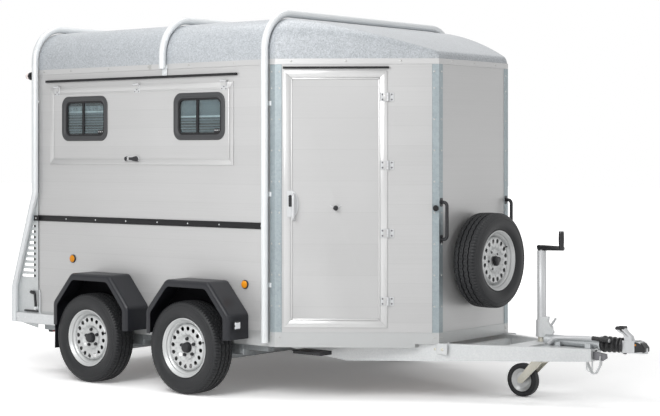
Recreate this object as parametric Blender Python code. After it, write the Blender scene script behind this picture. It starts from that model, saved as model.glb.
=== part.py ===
"""Two-axle horse trailer with an angled nose, a side door, side flaps and a rear ramp.

Metres, +X forward, +Y left, +Z up. Lengths along X start at the rear edge of the side walls, and the
empty that carries every sub-part moves that datum so that the whole trailer is centred on X = 0.
"""

import math

import bmesh
import bpy
from mathutils import Matrix, Vector

for old in list(bpy.data.objects):
    bpy.data.objects.remove(old, do_unlink=True)

# Clearances, and how far shapes that are welded run into each other
SEAT = 0.0003
LAP = 0.0005
BITE = 0.003
RUNNING_GAP = 0.005

# Wheels: radii, then places along the axle from the wheel's middle plane, outboard positive
TYRE_RADIUS = 0.308
TYRE_WIDTH = 0.182
TYRE_STEPS = 24
TREAD_EDGE = 0.025
SHOULDER_DROP = 0.015
SHOULDER_IN = 0.010
BULGE_RADIUS = 0.240
RIM_LIP_RADIUS = 0.195
RIM_LIP_HALF = 0.0735
RIM_LIP = 0.005
BEAD_RADIUS = 0.1825
BEAD_IN = 0.0095
DROP_RADIUS = 0.160
DROP_HALF = 0.024
RIM_WALL = 0.0055
DISC_RADIUS = 0.154
DISC_CROWN_RADIUS = 0.094
DISC_EDGE_RADIUS = 0.132
DISC_CROWN = 0.010
DISC_INNER_RADIUS = 0.080
DISC = 0.006
MOUNT_FACE = 0.030
RIM_HOLES = 16
RIM_HOLE_SIDES = 6
RIM_HOLE_PHASE = 0.25
RIM_HOLE_CIRCLE = 0.113
RIM_HOLE_RADIUS = 0.0095
DRUM_RADIUS = 0.115
DRUM_BACK = 0.0855
HUB_CAP_RADIUS = 0.034
HUB_CAP = 0.030
HUB_CAP_BEVEL = 0.006

# Body plan
BODY_WIDTH = 2.03
SIDE_LENGTH = 2.257
NOSE_DEPTH = 0.837
FRONT_WIDTH = 0.80
WALL = 0.025
WALL_HEIGHT = 1.7425
FLOOR_OVER_AXLE = 0.0946
FLOOR = 0.030
DECK_RISE = 0.004
DECK_GAP = 0.003

# Roof
ROOF_RISE = 0.3095
ROOF_RADIUS = 0.216
ROOF_SKIN = 0.006
ROOF_STEPS = 7
ROOF_SPLIT_BACK = 0.065
NOSE_ROOF_RISE = 0.0775
NOSE_ROOF_FALL = 1.45
NOSE_ROOF_RADIUS = 0.030
NOSE_ROOF_STATIONS = 6
FRONT_EDGE_RADIUS = 0.026
FRONT_EDGE_STEPS = 3
BAND_HEIGHT = 0.036
BAND = 0.004

# Hoops and rear frame: heights from the floor's top
HOOP_TUBE = 0.048
HOOP_SIDES = 12
HOOP_MID_BACK = 0.978
HOOP_MID_FOOT = 0.002
REAR_HOOP_X = -0.010
REAR_FOOT_X = -0.230
REAR_KINK = 0.891
REAR_KNEE = 0.208
REAR_BEND = 0.10
REAR_FOOT_DROP = 0.048
WING = 0.004
WING_DROP = 0.085
SLOT_COUNT = 10
SLOT_PITCH = 0.040
SLOT_HEIGHT = 0.018
SLOT_FRONT_X = -0.024
SLOT_FIRST_DROP = 0.241
SLOT_EDGE = 0.030

# Skirt, side beams and corner posts: heights from the floor's underside
SKIRT = 0.003
SKIRT_RISE = 0.067
SKIRT_DROP = 0.004
LEDGE = 0.030
LEDGE_DROP = 0.028
LEDGE_FRONT_BACK = 0.120
NOTCH_LENGTH = 0.300
SIDE_BEAM_REAR_X = -0.205
SIDE_BEAM_RISE = 0.051
SIDE_BEAM_DROP = 0.015
SIDE_BEAM_FRONT_X = 0.020
BEAM_CLEAR = 0.001
POST_LEG = 0.042
POST = 0.0035
POST_RISE = 0.006

# Chassis
RAIL_HEIGHT = 0.070
RAIL_WIDTH = 0.060
RAIL_INSET = 0.055
RAIL_FRONT_BACK = 0.107
CROSS_REAR_X = 0.010
CROSS_COUNT = 4
CROSS_WIDTH = 0.060
CROSS_HEIGHT = 0.050
CROSS_DROP = 0.004

# Drawbar: lengths from the front wall, heights down from the rails' top
DRAWBAR_REACH = 0.904
DRAWBAR_TIP_HALF = 0.060
DRAWBAR_TO_RAIL = 0.010
DRAWBAR_BEAM = 0.045
DRAWBAR_TIP_HEIGHT = 0.078
DRAWBAR_DEEP_BACK = 0.574
DRAWBAR_DEEP_HEIGHT = 0.132
DRAWBAR_REAR_HEIGHT = 0.060
HOUSING_PLATE_LENGTH = 0.330
HOUSING_PLATE = 0.010
TIE_PLATE_LENGTH = 0.138
TIE_PLATE_DROP = 0.062
CROSS_BEAM_AHEAD = 0.030
CROSS_BEAM_WIDTH = 0.050
CROSS_BEAM_HEIGHT = 0.055
CROSS_BEAM_DROP = 0.025
SAFETY_LOOP_RADIUS = 0.005
SAFETY_LOOP_LENGTH = 0.048
SAFETY_LOOP_HEIGHT = 0.072
SAFETY_LOOP_Y = -0.030
SAFETY_LOOP_BEND = 0.014

# Axles
AXLE_FROM_CORNER = 0.642
AXLE_SPACING = 0.915
TYRE_TO_BODY = 0.0085
AXLE_TUBE_RADIUS = 0.038
AXLE_TUBE_AHEAD = 0.180
AXLE_TUBE_INSET = 0.030
AXLE_SADDLE = 0.090
ARM_INSET = 0.040
ARM_PROUD = 0.001
ARM_HALF_HEIGHT = 0.028
ARM_ROUND = 0.016
BACKPLATE_RADIUS = 0.120
BACKPLATE = 0.004
STUB_RADIUS = 0.022

# Fenders
FENDER_AHEAD = 0.045
FENDER_PAST_TYRE = 0.064
FENDER_HALF_TOP = 0.190
FENDER_OVER_TYRE = 0.1346
FENDER_KNEE = 0.2346
FENDER_BOTTOM = 0.0766
FENDER_TO_TYRE = 0.0055
FENDER_SKIN = 0.006
FENDER_LIP = 0.046
FENDER_CORNER = 0.045
FENDER_ROUND = 0.022
FENDER_ROUND_STEPS = 3
MUD_FLAP = 0.006
MUD_FLAP_BOTTOM = 0.215
MUD_FLAP_IN = 0.012

# Lamps
SIDE_LAMP_RADIUS = 0.024
SIDE_LAMP_OUT = 0.012
SIDE_LAMP_SIDES = 12
REAR_SIDE_LAMP = (0.364, 0.430)
FRONT_SIDE_LAMP = (0.256, 0.329)
FENDER_LAMP_RADIUS = 0.027
FENDER_LAMP_OUT = 0.014
FENDER_LAMP_Y = 0.122
FENDER_LAMP_RISE = 0.092
MARKER_LAMP_RADIUS = 0.030
MARKER_LENS_RADIUS = 0.024
MARKER_BASE = 0.024
MARKER_LAMP = 0.062
MARKER_DROP = 0.0075
REAR_LAMP_Y = (0.690, 0.890)
REAR_LAMP_HEIGHT = 0.090
REAR_LAMP_DEPTH = 0.050
REAR_LAMP_ROUND = 0.014

# Side flaps with two sliding windows each: heights down from the walls' top
FLAP_REAR_X = 0.124
FLAP_FRONT_BACK = 0.356
FLAP_DROP = 0.0975
FLAP_HEIGHT = 0.547
FLAP_LIP = 0.010
FLAP_LIP_OUT = 0.0045
FLAP_BODY = 0.022
FLAP_HINGE_ABOVE = 0.004
HINGE_OUT = 0.014
HINGE_LEAF = 0.026
KNUCKLE_RADIUS = 0.008
KNUCKLE_LENGTH = 0.055
KNUCKLE_STEP = 0.004
FLAP_KNUCKLE_INSET = 0.080
WINDOW_REAR = 0.364
WINDOW_FRONT = 0.306
WINDOW_DROP = 0.224
WINDOW_WIDTH = 0.465
WINDOW_HEIGHT = 0.315
WINDOW_ROUND = 0.065
WINDOW_LIP = 0.010
WINDOW_PROUD = 0.012
WINDOW_RIM = 0.042
PANE = 0.004
PANE_IN = 0.012
WINDOW_BAR = 0.012
LATCH_BACK = 0.0545
LATCH_RISE = 0.041
LATCH_LENGTH = 0.110
LATCH_HEIGHT = 0.024
LATCH_OUT = 0.022
DRIP_RISE = 0.047
DRIP_HEIGHT = 0.014
DRIP_OUT = 0.020
DRIP_PAST = 0.032

# Side door in the right nose panel, placed along the panel from its rear corner
DOOR_START = 0.053
DOOR_WIDTH = 0.661
DOOR_SILL = 0.067
DOOR_TOP_DROP = 0.0395
DOOR_LIP = 0.010
DOOR_LIP_OUT = 0.0045
DOOR_BODY = 0.024
DOOR_HINGE_BESIDE = 0.002
DOOR_FRAME_SIDE = 0.058
DOOR_FRAME_END = 0.043
DOOR_RECESS = 0.002
DOOR_KNUCKLES = 4
DOOR_KNUCKLE_INSET = 0.170
HINGE_PLATE_GAP = 0.006
HINGE_PLATE = 0.004
HINGE_PLATE_WIDTH = 0.034
DOOR_DRIP_RISE = 0.013
DOOR_DRIP_HEIGHT = 0.010
HANDLE_IN = 0.065
HANDLE_RISE = 0.755
HANDLE_LENGTH = 0.160
HANDLE_OUT = 0.042
HANDLE_RADIUS = 0.009
HANDLE_SLANT = 0.012
HANDLE_BEND = 0.018
STOP_IN = 0.333
STOP_RISE = 0.828
STOP_OUT = 0.036
STOP_RADIUS = 0.011
BUFFER_BACK = 0.0187
BUFFER_OUT = 0.036
BUFFER_RADIUS = 0.018

# Rear ramp and the fixed panel above it
RAMP_IN_X = -0.012
RAMP = 0.040
RAMP_INSET = 0.030
RAMP_TOP_DROP = 0.1925
RAMP_HINGE_X = -0.060
RAMP_HINGE_DROP = 0.014
RAMP_CLEAR_FLOOR = 0.008
RAMP_HINGE_RADIUS = 0.014
RAMP_WEB = 0.012
HEADER = 0.030
RAMP_TO_HEADER = 0.007
HEADER_INSET = 0.002

# Trim that carries load or is gripped: heights from the floor's top
RUB_STRIP_RISE = 0.710
RUB_STRIP_HEIGHT = 0.041
RUB_STRIP = 0.012
RUB_CAP_LENGTH = 0.060
RUB_CAP_OUT = 0.011
GRAB_IN = 0.024
GRAB_RISE = 0.630
GRAB_LENGTH = 0.235
GRAB_OUT = 0.047
GRAB_RADIUS = 0.011
GRAB_BEND = 0.025
GRAB_FOOT = 0.005
GRAB_FOOT_HALF = (0.016, 0.028)

# Spare wheel
SPARE_OUT = 0.122
SPARE_RISE = 0.484
SPARE_BORE = 0.030
CARRIER_PLATE = 0.006
CARRIER_HALF = (0.12, 0.16)
CARRIER_POST_RADIUS = 0.050
CARRIER_ROD = 0.012
KNOB_RADIUS = 0.036
KNOB = 0.032
KNOB_BEVEL = 0.008

# Coupling line, from the drawbar's tip forward
HOUSING_RADIUS = 0.032
HOUSING_LENGTH = 0.405
HOUSING_OVERHANG = 0.047
FLANGE_RADIUS = 0.046
FLANGE = 0.012
SADDLE_LENGTH = 0.040
SADDLE_HALF = 0.048
SADDLE_INSETS = (0.090, 0.305)
BELLOWS_LENGTH = 0.135
BELLOWS_RIDGE = 0.052
BELLOWS_VALLEY = 0.038
BELLOWS_TAPER = 0.004
BELLOWS_RIDGES = 4

# Coupling head: lengths from its rear end, heights from the coupling line
HEAD_LENGTH = 0.170
HEAD_BODY_LENGTH = 0.074
HEAD_BODY_HALF = 0.030
HEAD_BODY_HEIGHTS = (-0.042, 0.034, 0.030)
HEAD_NOSE_START = 0.042
HEAD_NOSE_HALF = 0.034
HEAD_NOSE_ROUND = 0.028
HEAD_NOSE_BOTTOM = -0.040
HEAD_NOSE_TOP = ((0.042, 0.018), (0.074, 0.035), (0.132, 0.032), (0.170, -0.006))
BALL_BACK = 0.062
BALL_RADIUS = 0.0255
# Socket: radius, height
SOCKET = ((0.0, -0.007), (0.012, -0.009), (0.021, -0.016), (BALL_RADIUS, -0.028), (BALL_RADIUS, -0.102), (0.0, -0.102))
LOOP_HALF = 0.017
LOOP_OUTER = (
    (0.082, 0.023),
    (0.070, 0.060),
    (0.036, 0.088),
    (0.018, 0.114),
    (-0.030, 0.112),
    (-0.041, 0.100),
    (-0.022, 0.084),
    (0.016, 0.066),
    (0.026, 0.023),
)
LOOP_INNER = ((0.052, 0.056), (0.026, 0.080), (0.008, 0.102), (-0.020, 0.100), (-0.004, 0.088), (0.026, 0.070))

# Handbrake lever: lengths from the housing's rear end, heights from the coupling line
LEVER_RADIUS = 0.012
LEVER_Y = -0.066
LEVER_PATH = ((0.060, -0.017), (0.100, 0.023), (0.260, 0.034), (0.345, 0.038), (0.490, 0.030))
LEVER_BEND = 0.030
LEVER_PIN_RADIUS = 0.009
LEVER_PIN = (0.062, -0.008)

# Jockey wheel
JOCKEY_AHEAD = 0.429
JOCKEY_Y = 0.140
JOCKEY_RADIUS = 0.110
JOCKEY_WIDTH = 0.060
JOCKEY_STEPS = 20
JOCKEY_TRAIL = 0.140
JOCKEY_TUBE_RADIUS = 0.030
JOCKEY_TUBE_OVER_PLATE = 0.027
JOCKEY_TUBE_LENGTH = 0.555
JOCKEY_BORE = 0.0246
JOCKEY_INNER_RADIUS = 0.024
JOCKEY_INSERT = 0.120
JOCKEY_PLATE = 0.018
JOCKEY_PLATE_BACK = 0.050
JOCKEY_PLATE_AHEAD = 0.085
CLAMP_RADIUS = 0.0375
CLAMP_RISE = 0.002
CLAMP_HEIGHT = 0.108
CLAMP_FOOT_X = (0.030, 0.080)
CLAMP_FOOT_Y = (-0.030, 0.012)
CLAMP_FOOT_HEIGHT = 0.100
CLAMP_LEVER_RADIUS = 0.008
CLAMP_LEVER = ((0.050, -0.012, 0.070), (0.125, -0.035, 0.155))
FORK_OVER_WHEEL = 0.020
FORK_LEG = 0.006
FORK_SIDE_GAP = 0.006
FORK_REAR = 0.055
FORK_FRONT = 0.030
FORK_BRIDGE = 0.008
FORK_END = 0.018
JOCKEY_PIN_RADIUS = 0.0085
JOCKEY_HUB_RADIUS = 0.024
JOCKEY_HUB_PROUD = 0.004
JOCKEY_RIM_RADIUS = 0.074
JOCKEY_RIM_IN = 0.013
CRANK_RADIUS = 0.009
CRANK_REACH = 0.145
CRANK_RISE = 0.018
CRANK_POST_RADIUS = 0.014
GRIP_RADIUS = 0.016
GRIP_LENGTH = 0.124

# Heights and places that follow from those sizes
WHEEL_Z = TYRE_RADIUS * math.cos(math.pi / TYRE_STEPS)
FLOOR_TOP = WHEEL_Z + FLOOR_OVER_AXLE
FLOOR_BOTTOM = FLOOR_TOP - FLOOR
RAIL_TOP = FLOOR_BOTTOM - SEAT
RAIL_BOTTOM = FLOOR_BOTTOM - RAIL_HEIGHT
WALL_TOP = FLOOR_TOP + WALL_HEIGHT
ROOF_TOP = WALL_TOP + ROOF_RISE
HALF = BODY_WIDTH / 2
FRONT_HALF = FRONT_WIDTH / 2
FRONT_X = SIDE_LENGTH + NOSE_DEPTH
ROOF_SPLIT = SIDE_LENGTH - ROOF_SPLIT_BACK
HOOP_OFF = BAND + 2 * SEAT + HOOP_TUBE / 2
HOOP_Y = HALF + HOOP_OFF
WHEEL_Y = HALF + TYRE_TO_BODY + TYRE_WIDTH / 2
AXLE_XS = {
    "rear": SIDE_LENGTH - AXLE_FROM_CORNER - AXLE_SPACING,
    "front": SIDE_LENGTH - AXLE_FROM_CORNER,
}
FENDER_IN = HALF + SEAT + SKIRT + SEAT
FENDER_OUT = WHEEL_Y + TYRE_WIDTH / 2 + FENDER_TO_TYRE + FENDER_SKIN
DRAWBAR_TIP_X = FRONT_X + DRAWBAR_REACH
RAIL_FRONT_X = SIDE_LENGTH - RAIL_FRONT_BACK
DRAWBAR_REAR_X = RAIL_FRONT_X + DRAWBAR_TO_RAIL
COUPLING_Z = RAIL_TOP + SEAT + HOUSING_RADIUS
HOUSING_FRONT_X = DRAWBAR_TIP_X + HOUSING_OVERHANG
HOUSING_REAR_X = HOUSING_FRONT_X - HOUSING_LENGTH
BELLOWS_FRONT_X = HOUSING_FRONT_X + BELLOWS_LENGTH
HEAD_REAR_X = BELLOWS_FRONT_X + SEAT
HEAD_NOSE_X = HEAD_REAR_X + HEAD_LENGTH
REAR_END_X = REAR_FOOT_X - HOOP_TUBE / 2
CENTRE_X = (REAR_END_X + HEAD_NOSE_X) / 2
JOCKEY_X = FRONT_X + JOCKEY_AHEAD
JOCKEY_WHEEL_Z = JOCKEY_RADIUS * math.cos(math.pi / JOCKEY_STEPS)
SPARE_Z = FLOOR_TOP + SPARE_RISE
SIDES = {"right": -1, "left": 1}

trailer = bpy.data.objects.new("trailer", None)
bpy.context.scene.collection.objects.link(trailer)
trailer.location.x = -CENTRE_X


# Shapes

def solid(bm, name="tool"):
    """Links a bmesh as an object with its faces pointing out."""
    bmesh.ops.recalc_face_normals(bm, faces=bm.faces)
    mesh = bpy.data.meshes.new(name)
    bm.to_mesh(mesh)
    bm.free()
    made = bpy.data.objects.new(name, mesh)
    bpy.context.scene.collection.objects.link(made)
    return made


def loft(loops):
    """Joins equal closed loops of points into one solid with flat ends."""
    bm = bmesh.new()
    rings = [[bm.verts.new(point) for point in loop] for loop in loops]
    count = len(rings[0])
    for here, there in zip(rings, rings[1:]):
        for i in range(count):
            j = (i + 1) % count
            bm.faces.new((here[i], here[j], there[j], there[i]))
    bm.faces.new(rings[0])
    bm.faces.new(rings[-1])
    return solid(bm)


def plan_prism(outline, low, high):
    """Stands a plan outline of (x, y) points between two heights."""
    return loft([[(x, y, z) for x, y in outline] for z in (low, high)])


def side_prism(outline, right, left):
    """Stretches a side outline of (x, z) points between two places along Y."""
    return loft([[(x, y, z) for x, z in outline] for y in (right, left)])


def end_prism(outline, rear, front):
    """Stretches an end outline of (y, z) points between two places along X."""
    return loft([[(x, y, z) for y, z in outline] for x in (rear, front)])


def rectangle(low, high):
    """The outline of a box between two corners."""
    return [(low[0], low[1]), (high[0], low[1]), (high[0], high[1]), (low[0], high[1])]


def block(x, y, z):
    """A box from three (low, high) pairs."""
    return plan_prism(rectangle((x[0], y[0]), (x[1], y[1])), *z)


def corner_arc(before, corner, after, radius, steps):
    """Points of an arc that rounds a corner between its two neighbours."""
    back = (before - corner).normalized()
    ahead = (after - corner).normalized()
    half_angle = back.angle(ahead) / 2
    if radius <= 0 or half_angle > math.pi / 2 - 0.01:
        return [corner]
    reach = radius / math.tan(half_angle)
    centre = corner + (back + ahead).normalized() * (radius / math.sin(half_angle))
    start = corner + back * reach - centre
    end = corner + ahead * reach - centre
    return [centre + start.lerp(end, k / steps).normalized() * radius for k in range(steps + 1)]


def rounded(outline, radii, steps=4):
    """Rounds the corners of a closed outline, by one radius or by one for each corner."""
    corners = [Vector(corner) for corner in outline]
    if not isinstance(radii, list):
        radii = [radii] * len(corners)
    points = []
    for i, corner in enumerate(corners):
        points += corner_arc(corners[i - 1], corner, corners[(i + 1) % len(corners)], radii[i], steps)
    return [tuple(point) for point in points]


def bend_path(points, radius, steps=4):
    """Rounds the inner points of an open path in space."""
    corners = [Vector(point) for point in points]
    path = [corners[0]]
    for before, corner, after in zip(corners, corners[1:], corners[2:]):
        path += corner_arc(before, corner, after, radius, steps)
    return path + [corners[-1]]


def tube(path, radius, sides=10):
    """Sweeps a round bar along a path, each ring square to the path's mean direction."""
    path = [Vector(point) for point in path]
    headings = [(b - a).normalized() for a, b in zip(path, path[1:])]
    tangents = [headings[0]]
    tangents += [(a + b).normalized() for a, b in zip(headings, headings[1:])]
    tangents.append(headings[-1])
    turns = [2 * math.pi * (k + 0.5) / sides for k in range(sides)]
    across = tangents[0].orthogonal().normalized()
    loops = []
    for point, tangent in zip(path, tangents):
        across = (across - tangent * across.dot(tangent)).normalized()
        other = tangent.cross(across)
        loops.append([point + (across * math.cos(a) + other * math.sin(a)) * radius for a in turns])
    return loft(loops)


def rod(start, end, radius, sides=16):
    """A straight round bar."""
    return tube([start, end], radius, sides)


def turned(profile, steps, centre=(0, 0, 0), axis="y"):
    """Turns a closed profile of (radius, along) points about an axis through centre."""
    bm = bmesh.new()
    rings = []
    for radius, along in profile:
        turns = [2 * math.pi * (k + 0.5) / steps for k in range(steps)]
        spots = [(radius * math.sin(a), radius * math.cos(a)) for a in turns]
        ring = []
        for a, b in spots if radius > 0 else [(0.0, 0.0)]:
            place = {"y": (a, along, b), "x": (along, a, b), "z": (a, b, along)}[axis]
            ring.append(bm.verts.new(Vector(centre) + Vector(place)))
        rings.append(ring)
    for here, there in zip(rings, rings[1:] + rings[:1]):
        if len(here) == 1 and len(there) == 1:
            continue
        for k in range(steps):
            n = (k + 1) % steps
            if len(here) == 1:
                bm.faces.new((here[0], there[n], there[k]))
            elif len(there) == 1:
                bm.faces.new((here[k], here[n], there[0]))
            else:
                bm.faces.new((here[k], here[n], there[n], there[k]))
    return solid(bm)


def combine(target, operation, tools):
    """Applies one exact Boolean for each tool and removes the tools."""
    for tool in tools:
        tool.hide_render = True
        tool.display_type = "WIRE"
        modifier = target.modifiers.new(operation.lower(), "BOOLEAN")
        modifier.operation = operation
        modifier.solver = "EXACT"
        modifier.object = tool
    bpy.context.view_layer.update()
    evaluated = target.evaluated_get(bpy.context.evaluated_depsgraph_get())
    mesh = bpy.data.meshes.new_from_object(evaluated)
    target.modifiers.clear()
    target.data = mesh
    for tool in tools:
        bpy.data.objects.remove(tool, do_unlink=True)
    return target


def weld(*pieces):
    """Joins pieces that run into each other."""
    return combine(pieces[0], "UNION", pieces[1:])


def cut(target, *tools):
    """Takes each tool's volume out of the target."""
    return combine(target, "DIFFERENCE", tools)


def node(made, name, finish, pivot=(0, 0, 0)):
    """Names a sub-part, gives it its own finish and hangs it under the trailer at its pivot."""
    made.data.transform(Matrix.Translation(-Vector(pivot)))
    made.location = pivot
    made.parent = trailer
    made.name = name
    made.data.name = name
    colour, roughness, metallic = finish
    material = bpy.data.materials.new(name)
    material.use_nodes = True
    shader = material.node_tree.nodes["Principled BSDF"]
    shader.inputs["Base Color"].default_value = (*colour, 1)
    shader.inputs["Roughness"].default_value = roughness
    shader.inputs["Metallic"].default_value = metallic
    made.data.materials.clear()
    made.data.materials.append(material)
    made.data.shade_smooth()
    made.data.set_sharp_from_angle(angle=math.radians(32))
    return made


def side_span(side, *outs):
    """Places along Y at these distances out from a side wall's face, in rising order."""
    return sorted(side * (HALF + out) for out in outs)


# Finishes: colour, roughness, metallic
ALUMINIUM = ((0.62, 0.63, 0.63), 0.42, 0.7)
GALVANISED = ((0.50, 0.54, 0.56), 0.45, 0.85)
BRIGHT_STEEL = ((0.66, 0.68, 0.69), 0.30, 0.9)
ROOF_GREY = ((0.42, 0.44, 0.46), 0.50, 0.1)
BLACK_PLASTIC = ((0.030, 0.031, 0.035), 0.55, 0.0)
RUBBER = ((0.022, 0.022, 0.023), 0.80, 0.0)
WOOD = ((0.16, 0.11, 0.07), 0.75, 0.0)
WINDOW_GREY = ((0.05, 0.055, 0.06), 0.40, 0.0)
CLEAR_LENS = ((0.80, 0.78, 0.76), 0.25, 0.0)
RED_LENS = ((0.55, 0.03, 0.02), 0.25, 0.0)

# Plan of the body: outer wall corners from the rear right, round the nose, to the rear left
PLAN = [
    Vector((0.0, -HALF)),
    Vector((SIDE_LENGTH, -HALF)),
    Vector((FRONT_X, -FRONT_HALF)),
    Vector((FRONT_X, FRONT_HALF)),
    Vector((SIDE_LENGTH, HALF)),
    Vector((0.0, HALF)),
]


def plan_corner(i, out):
    """A corner of the plan moved out from both walls that meet there."""
    normals = []
    for a, b in ((i - 1, i), (i, i + 1)):
        if 0 <= a and b < len(PLAN):
            way = (PLAN[b] - PLAN[a]).normalized()
            normals.append(Vector((way.y, -way.x)))
    mean = sum(normals, Vector((0, 0))).normalized()
    return PLAN[i] + mean * (out / mean.dot(normals[0]))


def plan_band(inner, outer, low, high):
    """A strip that follows the walls round the nose, open at the rear."""
    corners = range(len(PLAN))
    outline = [plan_corner(i, outer) for i in corners]
    outline += [plan_corner(i, inner) for i in reversed(corners)]
    return plan_prism([tuple(point) for point in outline], low, high)


def wall_panel(i, low, high):
    """One wall panel between two corners of the plan, mitred to its neighbours."""
    way = (PLAN[i + 1] - PLAN[i]).normalized()
    outline = [
        plan_corner(i, 0) + way * SEAT,
        plan_corner(i + 1, 0) - way * SEAT,
        plan_corner(i + 1, -WALL) - way * SEAT,
        plan_corner(i, -WALL) + way * SEAT,
    ]
    return plan_prism([tuple(point) for point in outline], low, high)


nose_length = (PLAN[2] - PLAN[1]).length
nose_way = (PLAN[2] - PLAN[1]).normalized()
nose_out = Vector((nose_way.y, -nose_way.x))


def on_nose(t, out):
    """A plan point t along the right nose panel and out from its outer face."""
    return tuple(PLAN[1] + nose_way * t + nose_out * out)


def nose_block(t, out, z):
    """A box set square to the right nose panel."""
    outline = [on_nose(*spot) for spot in rectangle((t[0], out[0]), (t[1], out[1]))]
    return plan_prism(outline, *z)


def nose_rod(t, z, out, radius, sides=16):
    """A round pin square to the right nose panel."""
    ends = [(*on_nose(t, reach), z) for reach in out]
    return rod(*ends, radius, sides)


# Floor: one board over the whole plan, rebated round its edge where the walls stand
floor_outer = [plan_corner(i, 0) for i in range(len(PLAN))]
floor_inner = [plan_corner(i, -WALL - DECK_GAP) for i in range(len(PLAN))]
floor_inner[0].x += DECK_GAP
floor_inner[-1].x += DECK_GAP
# Each step: outline, height
floor_steps = (
    (floor_outer, FLOOR_BOTTOM),
    (floor_outer, FLOOR_TOP),
    (floor_inner, FLOOR_TOP),
    (floor_inner, FLOOR_TOP + DECK_RISE),
)
floor = loft([[(spot.x, spot.y, z) for spot in outline] for outline, z in floor_steps])
node(floor, "floor", WOOD)

# Chassis: two long rails and the cross members under the floor
rail_out = HALF - RAIL_INSET
rails = [
    block((0.0, RAIL_FRONT_X), sorted((side * (rail_out - RAIL_WIDTH), side * rail_out)), (RAIL_BOTTOM, RAIL_TOP))
    for side in SIDES.values()
]
cross_half = rail_out - RAIL_WIDTH / 2
cross_top = RAIL_TOP - CROSS_DROP
cross_front_x = DRAWBAR_REAR_X - SEAT - CROSS_WIDTH
crosses = []
for k in range(CROSS_COUNT):
    x = CROSS_REAR_X + (cross_front_x - CROSS_REAR_X) * k / (CROSS_COUNT - 1)
    crosses.append(block((x, x + CROSS_WIDTH), (-cross_half, cross_half), (cross_top - CROSS_HEIGHT, cross_top)))
node(weld(*rails, *crosses), "chassis_frame", GALVANISED)

# Drawbar: two tapered beams that meet at the coupling, with plates for the housing and jockey wheel
drawbar_slope = (FRONT_HALF - DRAWBAR_TIP_HALF) / DRAWBAR_REACH


def drawbar_half(x):
    """Half the drawbar's width outside its beams at x."""
    return DRAWBAR_TIP_HALF + (DRAWBAR_TIP_X - x) * drawbar_slope


# Each station: x, height of the beam
drawbar_stations = (
    (DRAWBAR_TIP_X, DRAWBAR_TIP_HEIGHT),
    (FRONT_X - DRAWBAR_DEEP_BACK, DRAWBAR_DEEP_HEIGHT),
    (DRAWBAR_REAR_X, DRAWBAR_REAR_HEIGHT),
)
beams = []
for side in SIDES.values():
    loops = []
    for x, height in drawbar_stations:
        out = drawbar_half(x) * side
        inner = (drawbar_half(x) - DRAWBAR_BEAM) * side
        loops.append([(x, y, z) for y, z in rectangle((out, RAIL_TOP - height), (inner, RAIL_TOP))])
    beams.append(loft(loops))
plate_top = RAIL_TOP - LAP
tip_x = DRAWBAR_TIP_X - LAP
cross_x = FRONT_X + CROSS_BEAM_AHEAD
# Each cross plate: rear x, front x, top height, thickness
cross_plates = (
    (cross_x, cross_x + CROSS_BEAM_WIDTH, RAIL_TOP - CROSS_BEAM_DROP, CROSS_BEAM_HEIGHT),
    (JOCKEY_X - JOCKEY_PLATE_BACK, JOCKEY_X + JOCKEY_PLATE_AHEAD, plate_top, JOCKEY_PLATE),
    (tip_x - HOUSING_PLATE_LENGTH, tip_x, plate_top, HOUSING_PLATE),
    (tip_x - TIE_PLATE_LENGTH, tip_x, plate_top - TIE_PLATE_DROP, HOUSING_PLATE),
)
plates = []
for rear, front, top, thickness in cross_plates:
    outline = [(x, -drawbar_half(x) + DRAWBAR_BEAM / 2) for x in (rear, front)]
    outline += [(x, drawbar_half(x) - DRAWBAR_BEAM / 2) for x in (front, rear)]
    plates.append(plan_prism(outline, top - thickness, top))
jockey_hole = rod((JOCKEY_X, JOCKEY_Y, plate_top - 2 * JOCKEY_PLATE), (JOCKEY_X, JOCKEY_Y, plate_top + JOCKEY_PLATE),
                  JOCKEY_TUBE_RADIUS + RUNNING_GAP)
loop_top = plate_top - TIE_PLATE_DROP - HOUSING_PLATE / 2
loop_low = loop_top - SAFETY_LOOP_HEIGHT
loop_xs = (tip_x - SAFETY_LOOP_LENGTH, tip_x - SAFETY_LOOP_RADIUS - BITE)
loop_path = [(loop_xs[0], SAFETY_LOOP_Y, z) for z in (loop_top, loop_low)]
loop_path += [(loop_xs[1], SAFETY_LOOP_Y, z) for z in (loop_low, loop_top)]
safety_loop = tube(bend_path(loop_path, SAFETY_LOOP_BEND, 3), SAFETY_LOOP_RADIUS, 6)
drawbar = cut(weld(*beams, *plates, safety_loop), jockey_hole)
node(drawbar, "drawbar", GALVANISED)


# Body frame: skirt round the floor's edge and the four corner posts, riveted together
def arm_outline(x, grow):
    """Side outline of a trailing arm from the wheel centre at x up to its axle tube, grown all round."""
    h = ARM_HALF_HEIGHT + grow
    tube_x = x + AXLE_TUBE_AHEAD
    tube_z = RAIL_BOTTOM - SEAT - AXLE_TUBE_RADIUS
    corners = [(x - h, WHEEL_Z - h), (tube_x + h, tube_z - h), (tube_x + h, tube_z + h), (x - h, WHEEL_Z + h)]
    return rounded(corners, ARM_ROUND, 3)


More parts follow.
